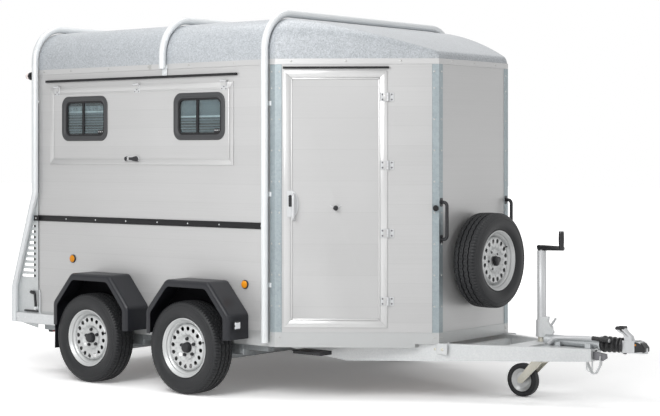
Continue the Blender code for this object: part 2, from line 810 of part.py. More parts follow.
skirt_low = FLOOR_BOTTOM - SKIRT_DROP
skirt = plan_band(SEAT, SEAT + SKIRT, skirt_low, FLOOR_BOTTOM + SKIRT_RISE)
ledge = plan_band(-LEDGE, SEAT + SKIRT / 2, FLOOR_BOTTOM - LEDGE_DROP, RAIL_TOP)
ledge_end = block((FRONT_X - LEDGE_FRONT_BACK, FRONT_X + LEDGE), (-HALF, HALF),
                  (FLOOR_BOTTOM - LEDGE_DROP - BITE, RAIL_TOP + BITE))
side_beams = [
    block((SIDE_BEAM_REAR_X, SIDE_BEAM_FRONT_X), side_span(side, SEAT + LAP, SEAT + LAP + SKIRT),
          (FLOOR_BOTTOM - SIDE_BEAM_DROP, FLOOR_BOTTOM + SIDE_BEAM_RISE))
    for side in SIDES.values()
]
posts = []
for i in (1, 2, 3, 4):
    before = (PLAN[i - 1] - PLAN[i]).normalized()
    after = (PLAN[i + 1] - PLAN[i]).normalized()
    legs = []
    for reach in (SEAT + LAP, SEAT + LAP + POST):
        corner = plan_corner(i, reach)
        legs.append([corner + before * POST_LEG, corner, corner + after * POST_LEG])
    outline = legs[1] + legs[0][::-1]
    posts.append(plan_prism([tuple(point) for point in outline], FLOOR_BOTTOM + POST_RISE, WALL_TOP - SEAT))
buffer = nose_rod(nose_length - BUFFER_BACK, FLOOR_TOP + STOP_RISE, (SEAT + LAP + POST / 2, BUFFER_OUT), BUFFER_RADIUS)
reliefs = []
for side in SIDES.values():
    for x in AXLE_XS.values():
        reliefs.append(side_prism(arm_outline(x, RUNNING_GAP), *side_span(side, -LEDGE - RUNNING_GAP, RUNNING_GAP)))
    notch = []
    for x, inward in rectangle((FRONT_X - NOTCH_LENGTH, -BEAM_CLEAR), (FRONT_X + POST_LEG, DRAWBAR_BEAM + BEAM_CLEAR)):
        notch.append((x, side * (drawbar_half(x) - inward)))
    reliefs.append(plan_prism(notch, skirt_low - BITE, FLOOR_BOTTOM + BEAM_CLEAR))
body_frame = cut(weld(skirt, cut(ledge, ledge_end), *side_beams, *posts, buffer), *reliefs)
node(body_frame, "body_frame", GALVANISED)

# Side walls: aluminium planks, each wall one panel on the floor, with a drip rail and two side lamps
wall_low = FLOOR_TOP + SEAT
flap_x = (FLAP_REAR_X, SIDE_LENGTH - FLAP_FRONT_BACK)
flap_z = (WALL_TOP - FLAP_DROP - FLAP_HEIGHT, WALL_TOP - FLAP_DROP)
drip_z = flap_z[1] + DRIP_RISE
# Each side lamp: x, height above the floor
side_lamps = (REAR_SIDE_LAMP, (SIDE_LENGTH - FRONT_SIDE_LAMP[0], FRONT_SIDE_LAMP[1]))
for side_name, i in (("right", 0), ("left", 4)):
    side = SIDES[side_name]
    hole = block((flap_x[0] + FLAP_LIP, flap_x[1] - FLAP_LIP), side_span(side, -2 * WALL, WALL),
                 (flap_z[0] + FLAP_LIP, flap_z[1] - FLAP_LIP))
    drip = block((flap_x[0] - DRIP_PAST, flap_x[1] + DRIP_PAST), side_span(side, -WALL / 2, DRIP_OUT),
                 (drip_z - DRIP_HEIGHT / 2, drip_z + DRIP_HEIGHT / 2))
    lamps = [
        rod((x, side * (HALF - WALL / 2), FLOOR_TOP + z), (x, side * (HALF + SIDE_LAMP_OUT), FLOOR_TOP + z),
            SIDE_LAMP_RADIUS, SIDE_LAMP_SIDES)
        for x, z in side_lamps
    ]
    wall = weld(cut(wall_panel(i, wall_low, WALL_TOP), hole), drip, *lamps)
    node(wall, f"side_wall_{side_name}", ALUMINIUM)

# Nose panels: the right one holds the side door
door_t = (DOOR_START, DOOR_START + DOOR_WIDTH)
door_z = (FLOOR_TOP + DOOR_SILL, WALL_TOP - DOOR_TOP_DROP)
door_knuckle_zs = [
    door_z[0] + DOOR_KNUCKLE_INSET + (door_z[1] - door_z[0] - 2 * DOOR_KNUCKLE_INSET) * k / (DOOR_KNUCKLES - 1)
    for k in range(DOOR_KNUCKLES)
]
door_hole = nose_block((door_t[0] + DOOR_LIP, door_t[1] - DOOR_LIP), (-2 * WALL, WALL),
                       (door_z[0] + DOOR_LIP, door_z[1] - DOOR_LIP))
drip_low = door_z[1] + DOOR_DRIP_RISE
door_drip = nose_block((door_t[0], door_t[1] + HINGE_PLATE_GAP), (-WALL / 2, DRIP_OUT),
                       (drip_low, drip_low + DOOR_DRIP_HEIGHT))
hinge_plates = [
    nose_block((door_t[1] + HINGE_PLATE_GAP, door_t[1] + HINGE_PLATE_GAP + HINGE_PLATE_WIDTH),
               (-WALL / 2, HINGE_PLATE), (z - KNUCKLE_LENGTH / 2 + KNUCKLE_STEP, z + KNUCKLE_LENGTH / 2 - KNUCKLE_STEP))
    for z in door_knuckle_zs
]
right_nose = weld(cut(wall_panel(1, wall_low, WALL_TOP), door_hole), door_drip, *hinge_plates)
node(right_nose, "nose_panel_right", ALUMINIUM)
node(wall_panel(2, wall_low, WALL_TOP), "front_panel", ALUMINIUM)
node(wall_panel(3, wall_low, WALL_TOP), "nose_panel_left", ALUMINIUM)

# Roof: a barrel over the horses, a falling moulding over the nose and a riveted band round both
roof_low = WALL_TOP + SEAT


def roof_arch(half, low, top, radius):
    """A roof section, (y, z) from the right foot over the top to the left foot."""
    turns = [math.pi / 2 * k / ROOF_STEPS for k in range(ROOF_STEPS + 1)]
    right = [(radius - half - radius * math.cos(a), top - radius + radius * math.sin(a)) for a in turns]
    left = [(-y, z) for y, z in reversed(right)]
    return [(-half, low)] + right + left + [(half, low)]


outer_arch = roof_arch(HALF, roof_low, ROOF_TOP, ROOF_RADIUS)
inner_arch = roof_arch(HALF - ROOF_SKIN, roof_low, ROOF_TOP - ROOF_SKIN, ROOF_RADIUS - ROOF_SKIN)
node(end_prism(outer_arch + inner_arch[::-1], 0.0, ROOF_SPLIT - SEAT), "roof_rear", ROOF_GREY)


def nose_arch(x, drop, skin):
    """The nose roof's section at x, drawn in by skin, its top lowered by drop."""
    share = (x - ROOF_SPLIT) / (FRONT_X - ROOF_SPLIT)
    narrowing = max(0.0, (x - SIDE_LENGTH) / NOSE_DEPTH)
    half = HALF + (FRONT_HALF - HALF) * narrowing - skin
    top = ROOF_TOP + (NOSE_ROOF_RISE - ROOF_RISE) * share**NOSE_ROOF_FALL - skin - drop
    radius = NOSE_ROOF_RADIUS + (ROOF_RADIUS - NOSE_ROOF_RADIUS) * (1 - share) ** 2 - skin
    return [(x, y, z) for y, z in roof_arch(half, roof_low, top, radius)]


def nose_rings(skin):
    """The nose roof's sections from the front hoop to its rounded front edge."""
    edge_radius = FRONT_EDGE_RADIUS - skin
    # Each station: x, how far the top has dropped there
    stations = [(ROOF_SPLIT, 0.0)]
    stations += [(SIDE_LENGTH + NOSE_DEPTH * k / NOSE_ROOF_STATIONS, 0.0) for k in range(NOSE_ROOF_STATIONS)]
    for k in range(FRONT_EDGE_STEPS + 1):
        turn = math.pi / 2 * k / FRONT_EDGE_STEPS
        x = FRONT_X - FRONT_EDGE_RADIUS + edge_radius * math.sin(turn)
        stations.append((x, edge_radius * (1 - math.cos(turn))))
    return [nose_arch(x, drop, skin) for x, drop in stations]


bm = bmesh.new()
outer_rings, inner_rings = [
    [[bm.verts.new(point) for point in ring] for ring in nose_rings(skin)] for skin in (0.0, ROOF_SKIN)
]
last = len(outer_rings[0]) - 1
for rings in (outer_rings, inner_rings):
    for here, there in zip(rings, rings[1:]):
        for k in range(last):
            bm.faces.new((here[k], here[k + 1], there[k + 1], there[k]))
    bm.faces.new(rings[-1])
outer, inner = outer_rings[0], inner_rings[0]
for k in range(last):
    bm.faces.new((outer[k], outer[k + 1], inner[k + 1], inner[k]))
for here, there, inside, beyond in zip(outer_rings, outer_rings[1:], inner_rings, inner_rings[1:]):
    for k in (0, last):
        bm.faces.new((here[k], there[k], beyond[k], inside[k]))
outer, inner = outer_rings[-1], inner_rings[-1]
bm.faces.new((outer[0], outer[last], inner[last], inner[0]))
node(solid(bm), "roof_nose", ROOF_GREY)
node(plan_band(SEAT, SEAT + BAND, roof_low, WALL_TOP + BAND_HEIGHT), "roof_band", ALUMINIUM)


# Hoops: bent galvanised tube over the roof, the front one down to the floor
def hoop_path(x, foot):
    """A hoop's centre line across the roof at x, down to its foot on each side."""
    arch = roof_arch(HOOP_Y, foot, ROOF_TOP + HOOP_OFF, ROOF_RADIUS + HOOP_OFF)
    return [Vector((x, y, z)) for y, z in arch]


hoop_mid = tube(hoop_path(SIDE_LENGTH - HOOP_MID_BACK, WALL_TOP + HOOP_MID_FOOT), HOOP_TUBE / 2, HOOP_SIDES)
node(hoop_mid, "hoop_mid", GALVANISED)
node(tube(hoop_path(ROOF_SPLIT, skirt_low), HOOP_TUBE / 2, HOOP_SIDES), "hoop_front", GALVANISED)

# Rear frame: the rear hoop runs down, slants back past the ramp and carries the slotted wing plates
kink_z = FLOOR_TOP + REAR_KINK
knee_z = FLOOR_TOP + REAR_KNEE
foot_z = FLOOR_TOP - REAR_FOOT_DROP
arch = hoop_path(REAR_HOOP_X, kink_z)
right_foot = [(REAR_FOOT_X, -HOOP_Y, foot_z), (REAR_FOOT_X, -HOOP_Y, knee_z), arch[0], arch[1]]
right_foot = bend_path(right_foot, REAR_BEND)[:-1]
left_foot = [Vector((point.x, -point.y, point.z)) for point in reversed(right_foot)]
frame_tube = tube(right_foot + arch[1:-1] + left_foot, HOOP_TUBE / 2, HOOP_SIDES)
wing_in = HOOP_Y - HOOP_TUBE / 2 - LAP
wing_outline = [
    (0.0, FLOOR_TOP - WING_DROP),
    (0.0, kink_z),
    (REAR_HOOP_X, kink_z),
    (REAR_FOOT_X, knee_z),
    (REAR_FOOT_X, foot_z + WING),
]
slant = (REAR_HOOP_X - REAR_FOOT_X) / (kink_z - knee_z)
slot_outlines = []
for row in range(SLOT_COUNT):
    z = kink_z - SLOT_FIRST_DROP - row * SLOT_PITCH
    rear = REAR_FOOT_X + (z - knee_z) * slant + SLOT_EDGE
    corners = rectangle((rear, z - SLOT_HEIGHT / 2), (SLOT_FRONT_X, z + SLOT_HEIGHT / 2))
    slot_outlines.append(rounded(corners, SLOT_HEIGHT / 2 - SEAT, 1))
wings = []
for side in SIDES.values():
    wing = side_prism(wing_outline, side * wing_in, side * (wing_in + WING))
    slots = [side_prism(outline, side * (wing_in - WING), side * (wing_in + 2 * WING)) for outline in slot_outlines]
    wings.append(cut(wing, *slots))
node(weld(frame_tube, *wings), "rear_frame", GALVANISED)

# Rear header: the fixed arched panel above the ramp
ramp_top = WALL_TOP - RAMP_TOP_DROP
header_arch = roof_arch(HALF - HEADER_INSET, ramp_top + RAMP_TO_HEADER, ROOF_TOP - HEADER_INSET,
                        ROOF_RADIUS - HEADER_INSET)
node(end_prism(header_arch, -HEADER, -SEAT), "rear_header", ALUMINIUM)

# Ramp: one panel hinged along its lower edge between the side beams
ramp_half = HALF - RAMP_INSET
ramp_low = FLOOR_TOP + RAMP_CLEAR_FLOOR
ramp_hinge_z = FLOOR_TOP - RAMP_HINGE_DROP
ramp = block((RAMP_IN_X - RAMP, RAMP_IN_X), (-ramp_half, ramp_half), (ramp_low, ramp_top))
pin_half = HALF + LAP
ramp_pin = rod((RAMP_HINGE_X, -pin_half, ramp_hinge_z), (RAMP_HINGE_X, pin_half, ramp_hinge_z), RAMP_HINGE_RADIUS, 12)
ramp_web = block((RAMP_HINGE_X - RAMP_WEB / 3, RAMP_IN_X - RAMP + RAMP_WEB), (-ramp_half, ramp_half),
                 (ramp_hinge_z, ramp_low + RAMP_WEB))
node(weld(ramp, ramp_pin, ramp_web), "ramp", ALUMINIUM, pivot=(RAMP_HINGE_X, 0, ramp_hinge_z))

# Side flaps: a framed leaf in each side wall, hinged along its top, with two window holes
flap_hinge_z = flap_z[1] + FLAP_HINGE_ABOVE
flap_middle = (flap_x[0] + flap_x[1]) / 2
flap_knuckle_xs = (flap_x[0] + FLAP_KNUCKLE_INSET, flap_middle, flap_x[1] - FLAP_KNUCKLE_INSET)
latch_x = flap_middle - LATCH_BACK
latch_z = flap_z[0] + LATCH_RISE
window_z = flap_z[1] - WINDOW_DROP
window_xs = {"rear": flap_x[0] + WINDOW_REAR, "front": flap_x[1] - WINDOW_FRONT}
gap = RUNNING_GAP
leaf_inset = FLAP_LIP + gap


def window_outline(x, inset):
    """Rounded outline of a window centred at x, drawn in by inset."""
    half_width = WINDOW_WIDTH / 2 - inset
    half_height = WINDOW_HEIGHT / 2 - inset
    corners = rectangle((x - half_width, window_z - half_height), (x + half_width, window_z + half_height))
    return rounded(corners, WINDOW_ROUND - inset)


for side_name, side in SIDES.items():
    flap_pivot = (0, side * (HALF + HINGE_OUT), flap_hinge_z)
    leaf = block((flap_x[0] + leaf_inset, flap_x[1] - leaf_inset), side_span(side, -FLAP_BODY, FLAP_LIP_OUT / 2),
                 (flap_z[0] + leaf_inset, flap_z[1] - leaf_inset))
    lip = block(flap_x, side_span(side, LAP, FLAP_LIP_OUT), flap_z)
    knuckles = []
    for x in flap_knuckle_xs:
        low_x, high_x = x - KNUCKLE_LENGTH / 2, x + KNUCKLE_LENGTH / 2
        axis_y = side * (HALF + HINGE_OUT)
        knuckles.append(rod((low_x, axis_y, flap_hinge_z), (high_x, axis_y, flap_hinge_z), KNUCKLE_RADIUS, 10))
        knuckles.append(block((low_x + KNUCKLE_STEP, high_x - KNUCKLE_STEP), side_span(side, BITE, HINGE_OUT),
                              (flap_z[1] - HINGE_LEAF, flap_hinge_z)))
    latch = block((latch_x - LATCH_LENGTH / 2, latch_x + LATCH_LENGTH / 2), side_span(side, BITE, LATCH_OUT),
                  (latch_z - LATCH_HEIGHT / 2, latch_z + LATCH_HEIGHT / 2))
    holes = [
        side_prism(window_outline(x, WINDOW_LIP), *side_span(side, -2 * WALL, WALL)) for x in window_xs.values()
    ]
    flap = cut(weld(leaf, lip, *knuckles, latch), *holes)
    node(flap, f"flap_{side_name}", ALUMINIUM, pivot=flap_pivot)

    # Windows: a moulded frame seated in the flap, its sliding panes and the bar where they meet
    for place, x in window_xs.items():
        frame = side_prism(window_outline(x, 0), *side_span(side, FLAP_LIP_OUT + SEAT, WINDOW_PROUD))
        body = side_prism(window_outline(x, WINDOW_LIP + SEAT), *side_span(side, -FLAP_BODY, FLAP_LIP_OUT + 2 * SEAT))
        pane_outline = window_outline(x, WINDOW_RIM)
        outer_cut = side_prism(pane_outline, *side_span(side, PANE - PANE_IN, WALL))
        inner_cut = side_prism(pane_outline, *side_span(side, -2 * WALL, -PANE_IN))
        bar_half = WINDOW_HEIGHT / 2 - WINDOW_RIM + BITE
        bar = block((x - WINDOW_BAR / 2, x + WINDOW_BAR / 2), side_span(side, PANE / 2 - PANE_IN, -LAP),
                    (window_z - bar_half, window_z + bar_half))
        window = weld(cut(weld(frame, body), outer_cut, inner_cut), bar)
        node(window, f"window_{place}_{side_name}", WINDOW_GREY, pivot=flap_pivot)

# Side door: a framed leaf with a sunk panel, its hinge knuckles, a pull handle and a stop pin
door_axis_t = door_t[1] + DOOR_HINGE_BESIDE
door_axis = Vector(on_nose(door_axis_t, HINGE_OUT))
leaf_inset = DOOR_LIP + gap
leaf = nose_block((door_t[0] + leaf_inset, door_t[1] - leaf_inset), (-DOOR_BODY, DOOR_LIP_OUT / 2),
                  (door_z[0] + leaf_inset, door_z[1] - leaf_inset))
lip = nose_block(door_t, (LAP, DOOR_LIP_OUT), door_z)
recess = nose_block((door_t[0] + DOOR_FRAME_SIDE, door_t[1] - DOOR_FRAME_SIDE),
                    (DOOR_LIP_OUT - DOOR_RECESS, 2 * WALL), (door_z[0] + DOOR_FRAME_END, door_z[1] - DOOR_FRAME_END))
door = cut(weld(leaf, lip), recess)
knuckles = []
for z in door_knuckle_zs:
    low_z, high_z = z - KNUCKLE_LENGTH / 2, z + KNUCKLE_LENGTH / 2
    knuckles.append(rod((*door_axis, low_z), (*door_axis, high_z), KNUCKLE_RADIUS, 10))
    knuckles.append(nose_block((door_t[1] - HINGE_LEAF, door_axis_t), (BITE, HINGE_OUT),
                               (low_z + KNUCKLE_STEP, high_z - KNUCKLE_STEP)))
handle_t = DOOR_START + HANDLE_IN
handle_low = FLOOR_TOP + HANDLE_RISE
handle_high = handle_low + HANDLE_LENGTH
# Each point: out from the panel, height
handle_points = (
    (LAP, handle_low),
    (HANDLE_OUT, handle_low + HANDLE_SLANT),
    (HANDLE_OUT, handle_high - HANDLE_SLANT),
    (LAP, handle_high),
)
handle = tube(bend_path([(*on_nose(handle_t, out), z) for out, z in handle_points], HANDLE_BEND), HANDLE_RADIUS, 8)
stop_pin = nose_rod(DOOR_START + STOP_IN, FLOOR_TOP + STOP_RISE, (0.0, STOP_OUT), STOP_RADIUS, 12)
node(weld(door, *knuckles, handle, stop_pin), "door", ALUMINIUM, pivot=(*door_axis, 0))

# Rub strips: a black rail along each side wall with a cap over the wing plate's edge
strip_z = (FLOOR_TOP + RUB_STRIP_RISE - RUB_STRIP_HEIGHT / 2, FLOOR_TOP + RUB_STRIP_RISE + RUB_STRIP_HEIGHT / 2)
cap_in = wing_in + WING + SEAT
for side_name, side in SIDES.items():
    outline = rounded(rectangle((HALF + SEAT, strip_z[0]), (HALF + RUB_STRIP, strip_z[1])), BITE, 2)
    strip = end_prism([(side * y, z) for y, z in outline], LAP, ROOF_SPLIT - HOOP_TUBE / 2 - LAP)
    cap = block((-RUB_CAP_LENGTH / 2, RUB_CAP_LENGTH / 2), sorted((side * cap_in, side * (cap_in + RUB_CAP_OUT))),
                (strip_z[0] + LAP, strip_z[1] - LAP))
    node(weld(strip, cap), f"rub_strip_{side_name}", BLACK_PLASTIC)

# Grab handles: a bent bar on two feet at each front corner
foot_x = FRONT_X + SEAT + LAP + POST + SEAT
bar_x = FRONT_X + GRAB_OUT
grab_zs = (FLOOR_TOP + GRAB_RISE, FLOOR_TOP + GRAB_RISE + GRAB_LENGTH)
foot_half_y, foot_half_z = GRAB_FOOT_HALF
for side_name, side in SIDES.items():
    y = side * (FRONT_HALF - GRAB_IN)
    feet = [
        block((foot_x, foot_x + GRAB_FOOT), (y - foot_half_y, y + foot_half_y), (z - foot_half_z, z + foot_half_z))
        for z in grab_zs
    ]
    path = [(foot_x + LAP, y, grab_zs[0]), (bar_x, y, grab_zs[0]), (bar_x, y, grab_zs[1]), (foot_x + LAP, y, grab_zs[1])]
    bar = tube(bend_path(path, GRAB_BEND), GRAB_RADIUS)
    node(weld(bar, *feet), f"grab_handle_{side_name}", BLACK_PLASTIC)

# Tyre and rim profiles: (radius, along the axle, outboard positive from the wheel's middle plane)
half_width = TYRE_WIDTH / 2
tyre_side = [
    (BEAD_RADIUS + SEAT, RIM_LIP_HALF - BEAD_IN - 2 * SEAT),
    (RIM_LIP_RADIUS + BITE, RIM_LIP_HALF - BEAD_IN),
    (BULGE_RADIUS, half_width),
    (TYRE_RADIUS - SHOULDER_DROP, half_width - SHOULDER_IN),
    (TYRE_RADIUS, half_width - TREAD_EDGE),
]
tyre_profile = tyre_side + [(radius, -along) for radius, along in reversed(tyre_side)]
lip_side = [
    (BEAD_RADIUS - RIM_WALL, RIM_LIP_HALF - BEAD_IN - RIM_WALL),
    (RIM_LIP_RADIUS - RIM_LIP, RIM_LIP_HALF),
    (RIM_LIP_RADIUS, RIM_LIP_HALF - RIM_LIP),
    (BEAD_RADIUS, RIM_LIP_HALF - BEAD_IN),
    (DROP_RADIUS, DROP_HALF),
]
barrel = lip_side + [(radius, -along) for radius, along in reversed(lip_side)]
disc_face = MOUNT_FACE + DISC
disc_front = [
    (DISC_INNER_RADIUS, disc_face),
    (DISC_CROWN_RADIUS, disc_face + DISC_CROWN),
    (DISC_EDGE_RADIUS, disc_face + DISC_CROWN - BITE),
    (DISC_RADIUS, DROP_HALF),
]
disc_back = [
    (DROP_RADIUS - RIM_WALL, BITE - DROP_HALF),
    (DROP_RADIUS - RIM_WALL - LAP, DROP_HALF - DISC),
    (DISC_EDGE_RADIUS - BITE, disc_face + DISC_CROWN - BITE - DISC),
    (DISC_CROWN_RADIUS + BITE, disc_face + DISC_CROWN - DISC),
]
hub_inner = (DISC_INNER_RADIUS + BITE, MOUNT_FACE)
hub = [(0.0, disc_face + HUB_CAP), (HUB_CAP_RADIUS - HUB_CAP_BEVEL, disc_face + HUB_CAP), (HUB_CAP_RADIUS, disc_face)]
drum = [hub_inner, (DRUM_RADIUS, MOUNT_FACE / 2), (DRUM_RADIUS, -DRUM_BACK), (0.0, -DRUM_BACK)]
road_profile = hub + disc_front + barrel + disc_back + drum
spare_profile = [(SPARE_BORE, MOUNT_FACE), (SPARE_BORE, disc_face)] + disc_front + barrel + disc_back + [hub_inner]


def rim(profile):
    """A wheel turned about Y at the origin, with a ring of round holes through its disc."""
    holes = []
    for k in range(RIM_HOLES):
        turn = 2 * math.pi * (k + RIM_HOLE_PHASE) / RIM_HOLES
        x, z = RIM_HOLE_CIRCLE * math.sin(turn), RIM_HOLE_CIRCLE * math.cos(turn)
        holes.append(rod((x, MOUNT_FACE, z), (x, disc_face + 2 * DISC_CROWN, z), RIM_HOLE_RADIUS, RIM_HOLE_SIDES))
    return cut(turned(profile, TYRE_STEPS), *holes)


def set_wheel(made, centre, turn):
    """Turns a wheel made about Y at the origin so that its outboard side faces out, and sets it at centre."""
    made.data.transform(Matrix.Translation(centre) @ Matrix.Rotation(math.radians(turn), 4, "Z"))
    return made


# Road wheels with their drums, on the stub axles
for axle_name, x in AXLE_XS.items():
    for side_name, side in SIDES.items():
        centre = (x, side * WHEEL_Y, WHEEL_Z)
        turn = 0 if side > 0 else 180
        label = f"{axle_name}_{side_name}"
        node(set_wheel(turned(tyre_profile, TYRE_STEPS), centre, turn), f"tyre_{label}", RUBBER, pivot=centre)
        node(set_wheel(rim(road_profile), centre, turn), f"wheel_{label}", BRIGHT_STEEL, pivot=centre)

# Axles: a tube seated under the rails, trailing arms, stub axles and brake backplates
drum_in = WHEEL_Y - DRUM_BACK
plate_in = drum_in - SEAT - BACKPLATE
tube_half = HALF - AXLE_TUBE_INSET
tube_z = RAIL_BOTTOM - SEAT - AXLE_TUBE_RADIUS
for axle_name, x in AXLE_XS.items():
    tube_x = x + AXLE_TUBE_AHEAD
    pieces = [rod((tube_x, -tube_half, tube_z), (tube_x, tube_half, tube_z), AXLE_TUBE_RADIUS, 12)]
    for side in SIDES.values():
        arm_y = side_span(side, -ARM_INSET, ARM_PROUD)
        pieces.append(block((tube_x - AXLE_SADDLE / 2, tube_x + AXLE_SADDLE / 2),
                            sorted((side * (rail_out - RAIL_WIDTH), side * rail_out)), (tube_z, RAIL_BOTTOM - SEAT)))
        pieces.append(side_prism(arm_outline(x, 0.0), *arm_y))
        pieces.append(rod((x, side * (HALF - ARM_INSET / 2), WHEEL_Z), (x, side * (plate_in + LAP), WHEEL_Z),
                          STUB_RADIUS, 12))
        pieces.append(rod((x, side * plate_in, WHEEL_Z), (x, side * (drum_in - SEAT), WHEEL_Z), BACKPLATE_RADIUS, 20))
    node(weld(*pieces), f"axle_{axle_name}", GALVANISED)

# Fenders: one moulded hood over each wheel, open to the wheel and the wall, the rear ones with a mud flap
fender_half = TYRE_RADIUS + FENDER_PAST_TYRE
fender_low = WHEEL_Z + FENDER_BOTTOM


def hood_outline(middle, inset, low):
    """The hood's side outline, drawn in by inset."""
    shift = inset * math.tan(math.pi / 8)
    half_length = fender_half - inset
    half_top = FENDER_HALF_TOP - shift
    knee = WHEEL_Z + FENDER_KNEE - shift
    top = WHEEL_Z + TYRE_RADIUS + FENDER_OVER_TYRE - inset
    right = [(half_top, top), (half_length, knee), (half_length, low)]
    corners = [(-x, z) for x, z in reversed(right)] + right
    return rounded([(middle + x, z) for x, z in corners], [0] + [FENDER_CORNER] * 4 + [0], 3)


def hood_solid(middle, side, skin, low, inner):
    """A hood with a rounded outer edge, drawn in by skin, from the distance inner to its outer face."""
    radius = FENDER_ROUND - skin
    loops = [[(x, side * inner, z) for x, z in hood_outline(middle, skin, low)]]
    for k in range(FENDER_ROUND_STEPS + 1):
        turn = math.pi / 2 * k / FENDER_ROUND_STEPS
        y = side * (FENDER_OUT - FENDER_ROUND + radius * math.sin(turn))
        loops.append([(x, y, z) for x, z in hood_outline(middle, skin + radius * (1 - math.cos(turn)), low)])
    return loft(loops)


for axle_name, x in AXLE_XS.items():
    middle = x + FENDER_AHEAD
    below = fender_low - FENDER_LIP
    for side_name, side in SIDES.items():
        shell = hood_solid(middle, side, 0.0, fender_low, FENDER_IN)
        pocket = hood_solid(middle, side, FENDER_SKIN, below, HALF - WALL)
        opening = side_prism(hood_outline(middle, FENDER_LIP, below), side * (FENDER_OUT - FENDER_ROUND),
                             side * (FENDER_OUT + FENDER_ROUND))
        fender = cut(shell, pocket, opening)
        if axle_name == "rear":
            rear = middle - fender_half + LAP
            flap_y = side_span(side, MUD_FLAP_IN, FENDER_OUT - FENDER_ROUND - HALF)
            extra = block((rear, rear + MUD_FLAP), flap_y, (MUD_FLAP_BOTTOM, fender_low + FENDER_LIP))
        else:
            lamp_x = middle + fender_half
            lamp_y, lamp_z = side * (HALF + FENDER_LAMP_Y), fender_low + FENDER_LAMP_RISE
            extra = rod((lamp_x - BITE, lamp_y, lamp_z), (lamp_x + FENDER_LAMP_OUT, lamp_y, lamp_z), FENDER_LAMP_RADIUS, 12)
        node(weld(fender, extra), f"fender_{axle_name}_{side_name}", BLACK_PLASTIC)

# Spare wheel on a carrier with a clamping knob
spare_centre = (FRONT_X + SPARE_OUT, 0, SPARE_Z)
node(set_wheel(turned(tyre_profile, TYRE_STEPS), spare_centre, -90), "spare_tyre", RUBBER)
node(set_wheel(rim(spare_profile), spare_centre, -90), "spare_wheel", BRIGHT_STEEL)
carrier_y, carrier_z = CARRIER_HALF
carrier_plate = block((FRONT_X + SEAT, FRONT_X + CARRIER_PLATE), (-carrier_y, carrier_y),
                      (SPARE_Z - carrier_z, SPARE_Z + carrier_z))
post_end = SPARE_OUT + MOUNT_FACE - SEAT
carrier_post = rod((FRONT_X + BITE, 0, SPARE_Z), (FRONT_X + post_end, 0, SPARE_Z), CARRIER_POST_RADIUS)
knob_start = disc_face + SEAT
knob_end = disc_face + KNOB
carrier_rod = rod((FRONT_X + post_end - BITE, 0, SPARE_Z), (spare_centre[0] + knob_end - BITE, 0, SPARE_Z), CARRIER_ROD, 12)
knob_profile = [
    (0.0, knob_start),
    (KNOB_RADIUS, knob_start),
    (KNOB_RADIUS, knob_end - KNOB_BEVEL),
    (KNOB_RADIUS - KNOB_BEVEL, knob_end),
    (0.0, knob_end),
]
knob = turned(knob_profile, 18, spare_centre, "x")
node(weld(carrier_plate, carrier_post, carrier_rod, knob), "spare_carrier", GALVANISED)

# Marker lamps on the rear hoop near the roof, and rear lamps on the rearmost cross member
rear_lamp_top = cross_top
for side_name, side in SIDES.items():
    centre = (REAR_HOOP_X - HOOP_TUBE / 2 - SEAT, side * HOOP_Y, WALL_TOP - MARKER_DROP)
    profile = [
        (0.0, 0.0),
        (MARKER_LAMP_RADIUS, 0.0),
        (MARKER_LAMP_RADIUS, -MARKER_BASE),
        (MARKER_LENS_RADIUS, -MARKER_BASE),
        (MARKER_LENS_RADIUS, BITE - MARKER_LAMP),
        (MARKER_LENS_RADIUS - BITE, -MARKER_LAMP),
        (0.0, -MARKER_LAMP),
    ]
    node(turned(profile, 16, centre, "x"), f"marker_lamp_{side_name}", CLEAR_LENS)
    lamp_y = sorted(side * y for y in REAR_LAMP_Y)
    outline = rounded(rectangle((lamp_y[0], rear_lamp_top - REAR_LAMP_HEIGHT), (lamp_y[1], rear_lamp_top)), REAR_LAMP_ROUND, 2)
    rear_lamp = end_prism(outline, CROSS_REAR_X - SEAT - REAR_LAMP_DEPTH, CROSS_REAR_X - SEAT)
    node(rear_lamp, f"rear_lamp_{side_name}", RED_LENS)

# Overrun housing on the drawbar's tip, and the bellows in front of it
flange_x = HOUSING_FRONT_X - FLANGE
housing_profile = [
    (0.0, HOUSING_REAR_X),
    (HOUSING_RADIUS, HOUSING_REAR_X),
    (HOUSING_RADIUS, flange_x),
    (FLANGE_RADIUS, flange_x),
    (FLANGE_RADIUS, HOUSING_FRONT_X),
    (0.0, HOUSING_FRONT_X),
]
housing = turned(housing_profile, 20, (0, 0, COUPLING_Z), "x")
saddles = [
    block((HOUSING_REAR_X + inset, HOUSING_REAR_X + inset + SADDLE_LENGTH), (-SADDLE_HALF, SADDLE_HALF),
          (RAIL_TOP + SEAT, COUPLING_Z - BITE))
    for inset in SADDLE_INSETS
]
node(weld(housing, *saddles), "overrun_housing", BRIGHT_STEEL)
bellows_rear_x = HOUSING_FRONT_X + SEAT
pitch = (BELLOWS_FRONT_X - bellows_rear_x) / (BELLOWS_RIDGES + 0.5)
outline = [(0.0, bellows_rear_x), (BELLOWS_RIDGE, bellows_rear_x)]
for k in range(BELLOWS_RIDGES):
    valley_x = bellows_rear_x + pitch * (k + 0.5)
    ridge = BELLOWS_RIDGE - BELLOWS_TAPER * k
    outline += [(BELLOWS_VALLEY, valley_x), (ridge, valley_x + pitch * 0.3), (ridge, valley_x + pitch * 0.7)]
outline += [(BELLOWS_VALLEY - BELLOWS_TAPER, BELLOWS_FRONT_X), (0.0, BELLOWS_FRONT_X)]
node(turned(outline, 20, (0, 0, COUPLING_Z), "x"), "bellows", RUBBER)


# Coupling head: a forged body with a rounded nose over the ball socket and a loop handle
def head_points(table):
    """Side outline points of the coupling head in the trailer's frame."""
    return [(HEAD_REAR_X + ahead, COUPLING_Z + above) for ahead, above in table]


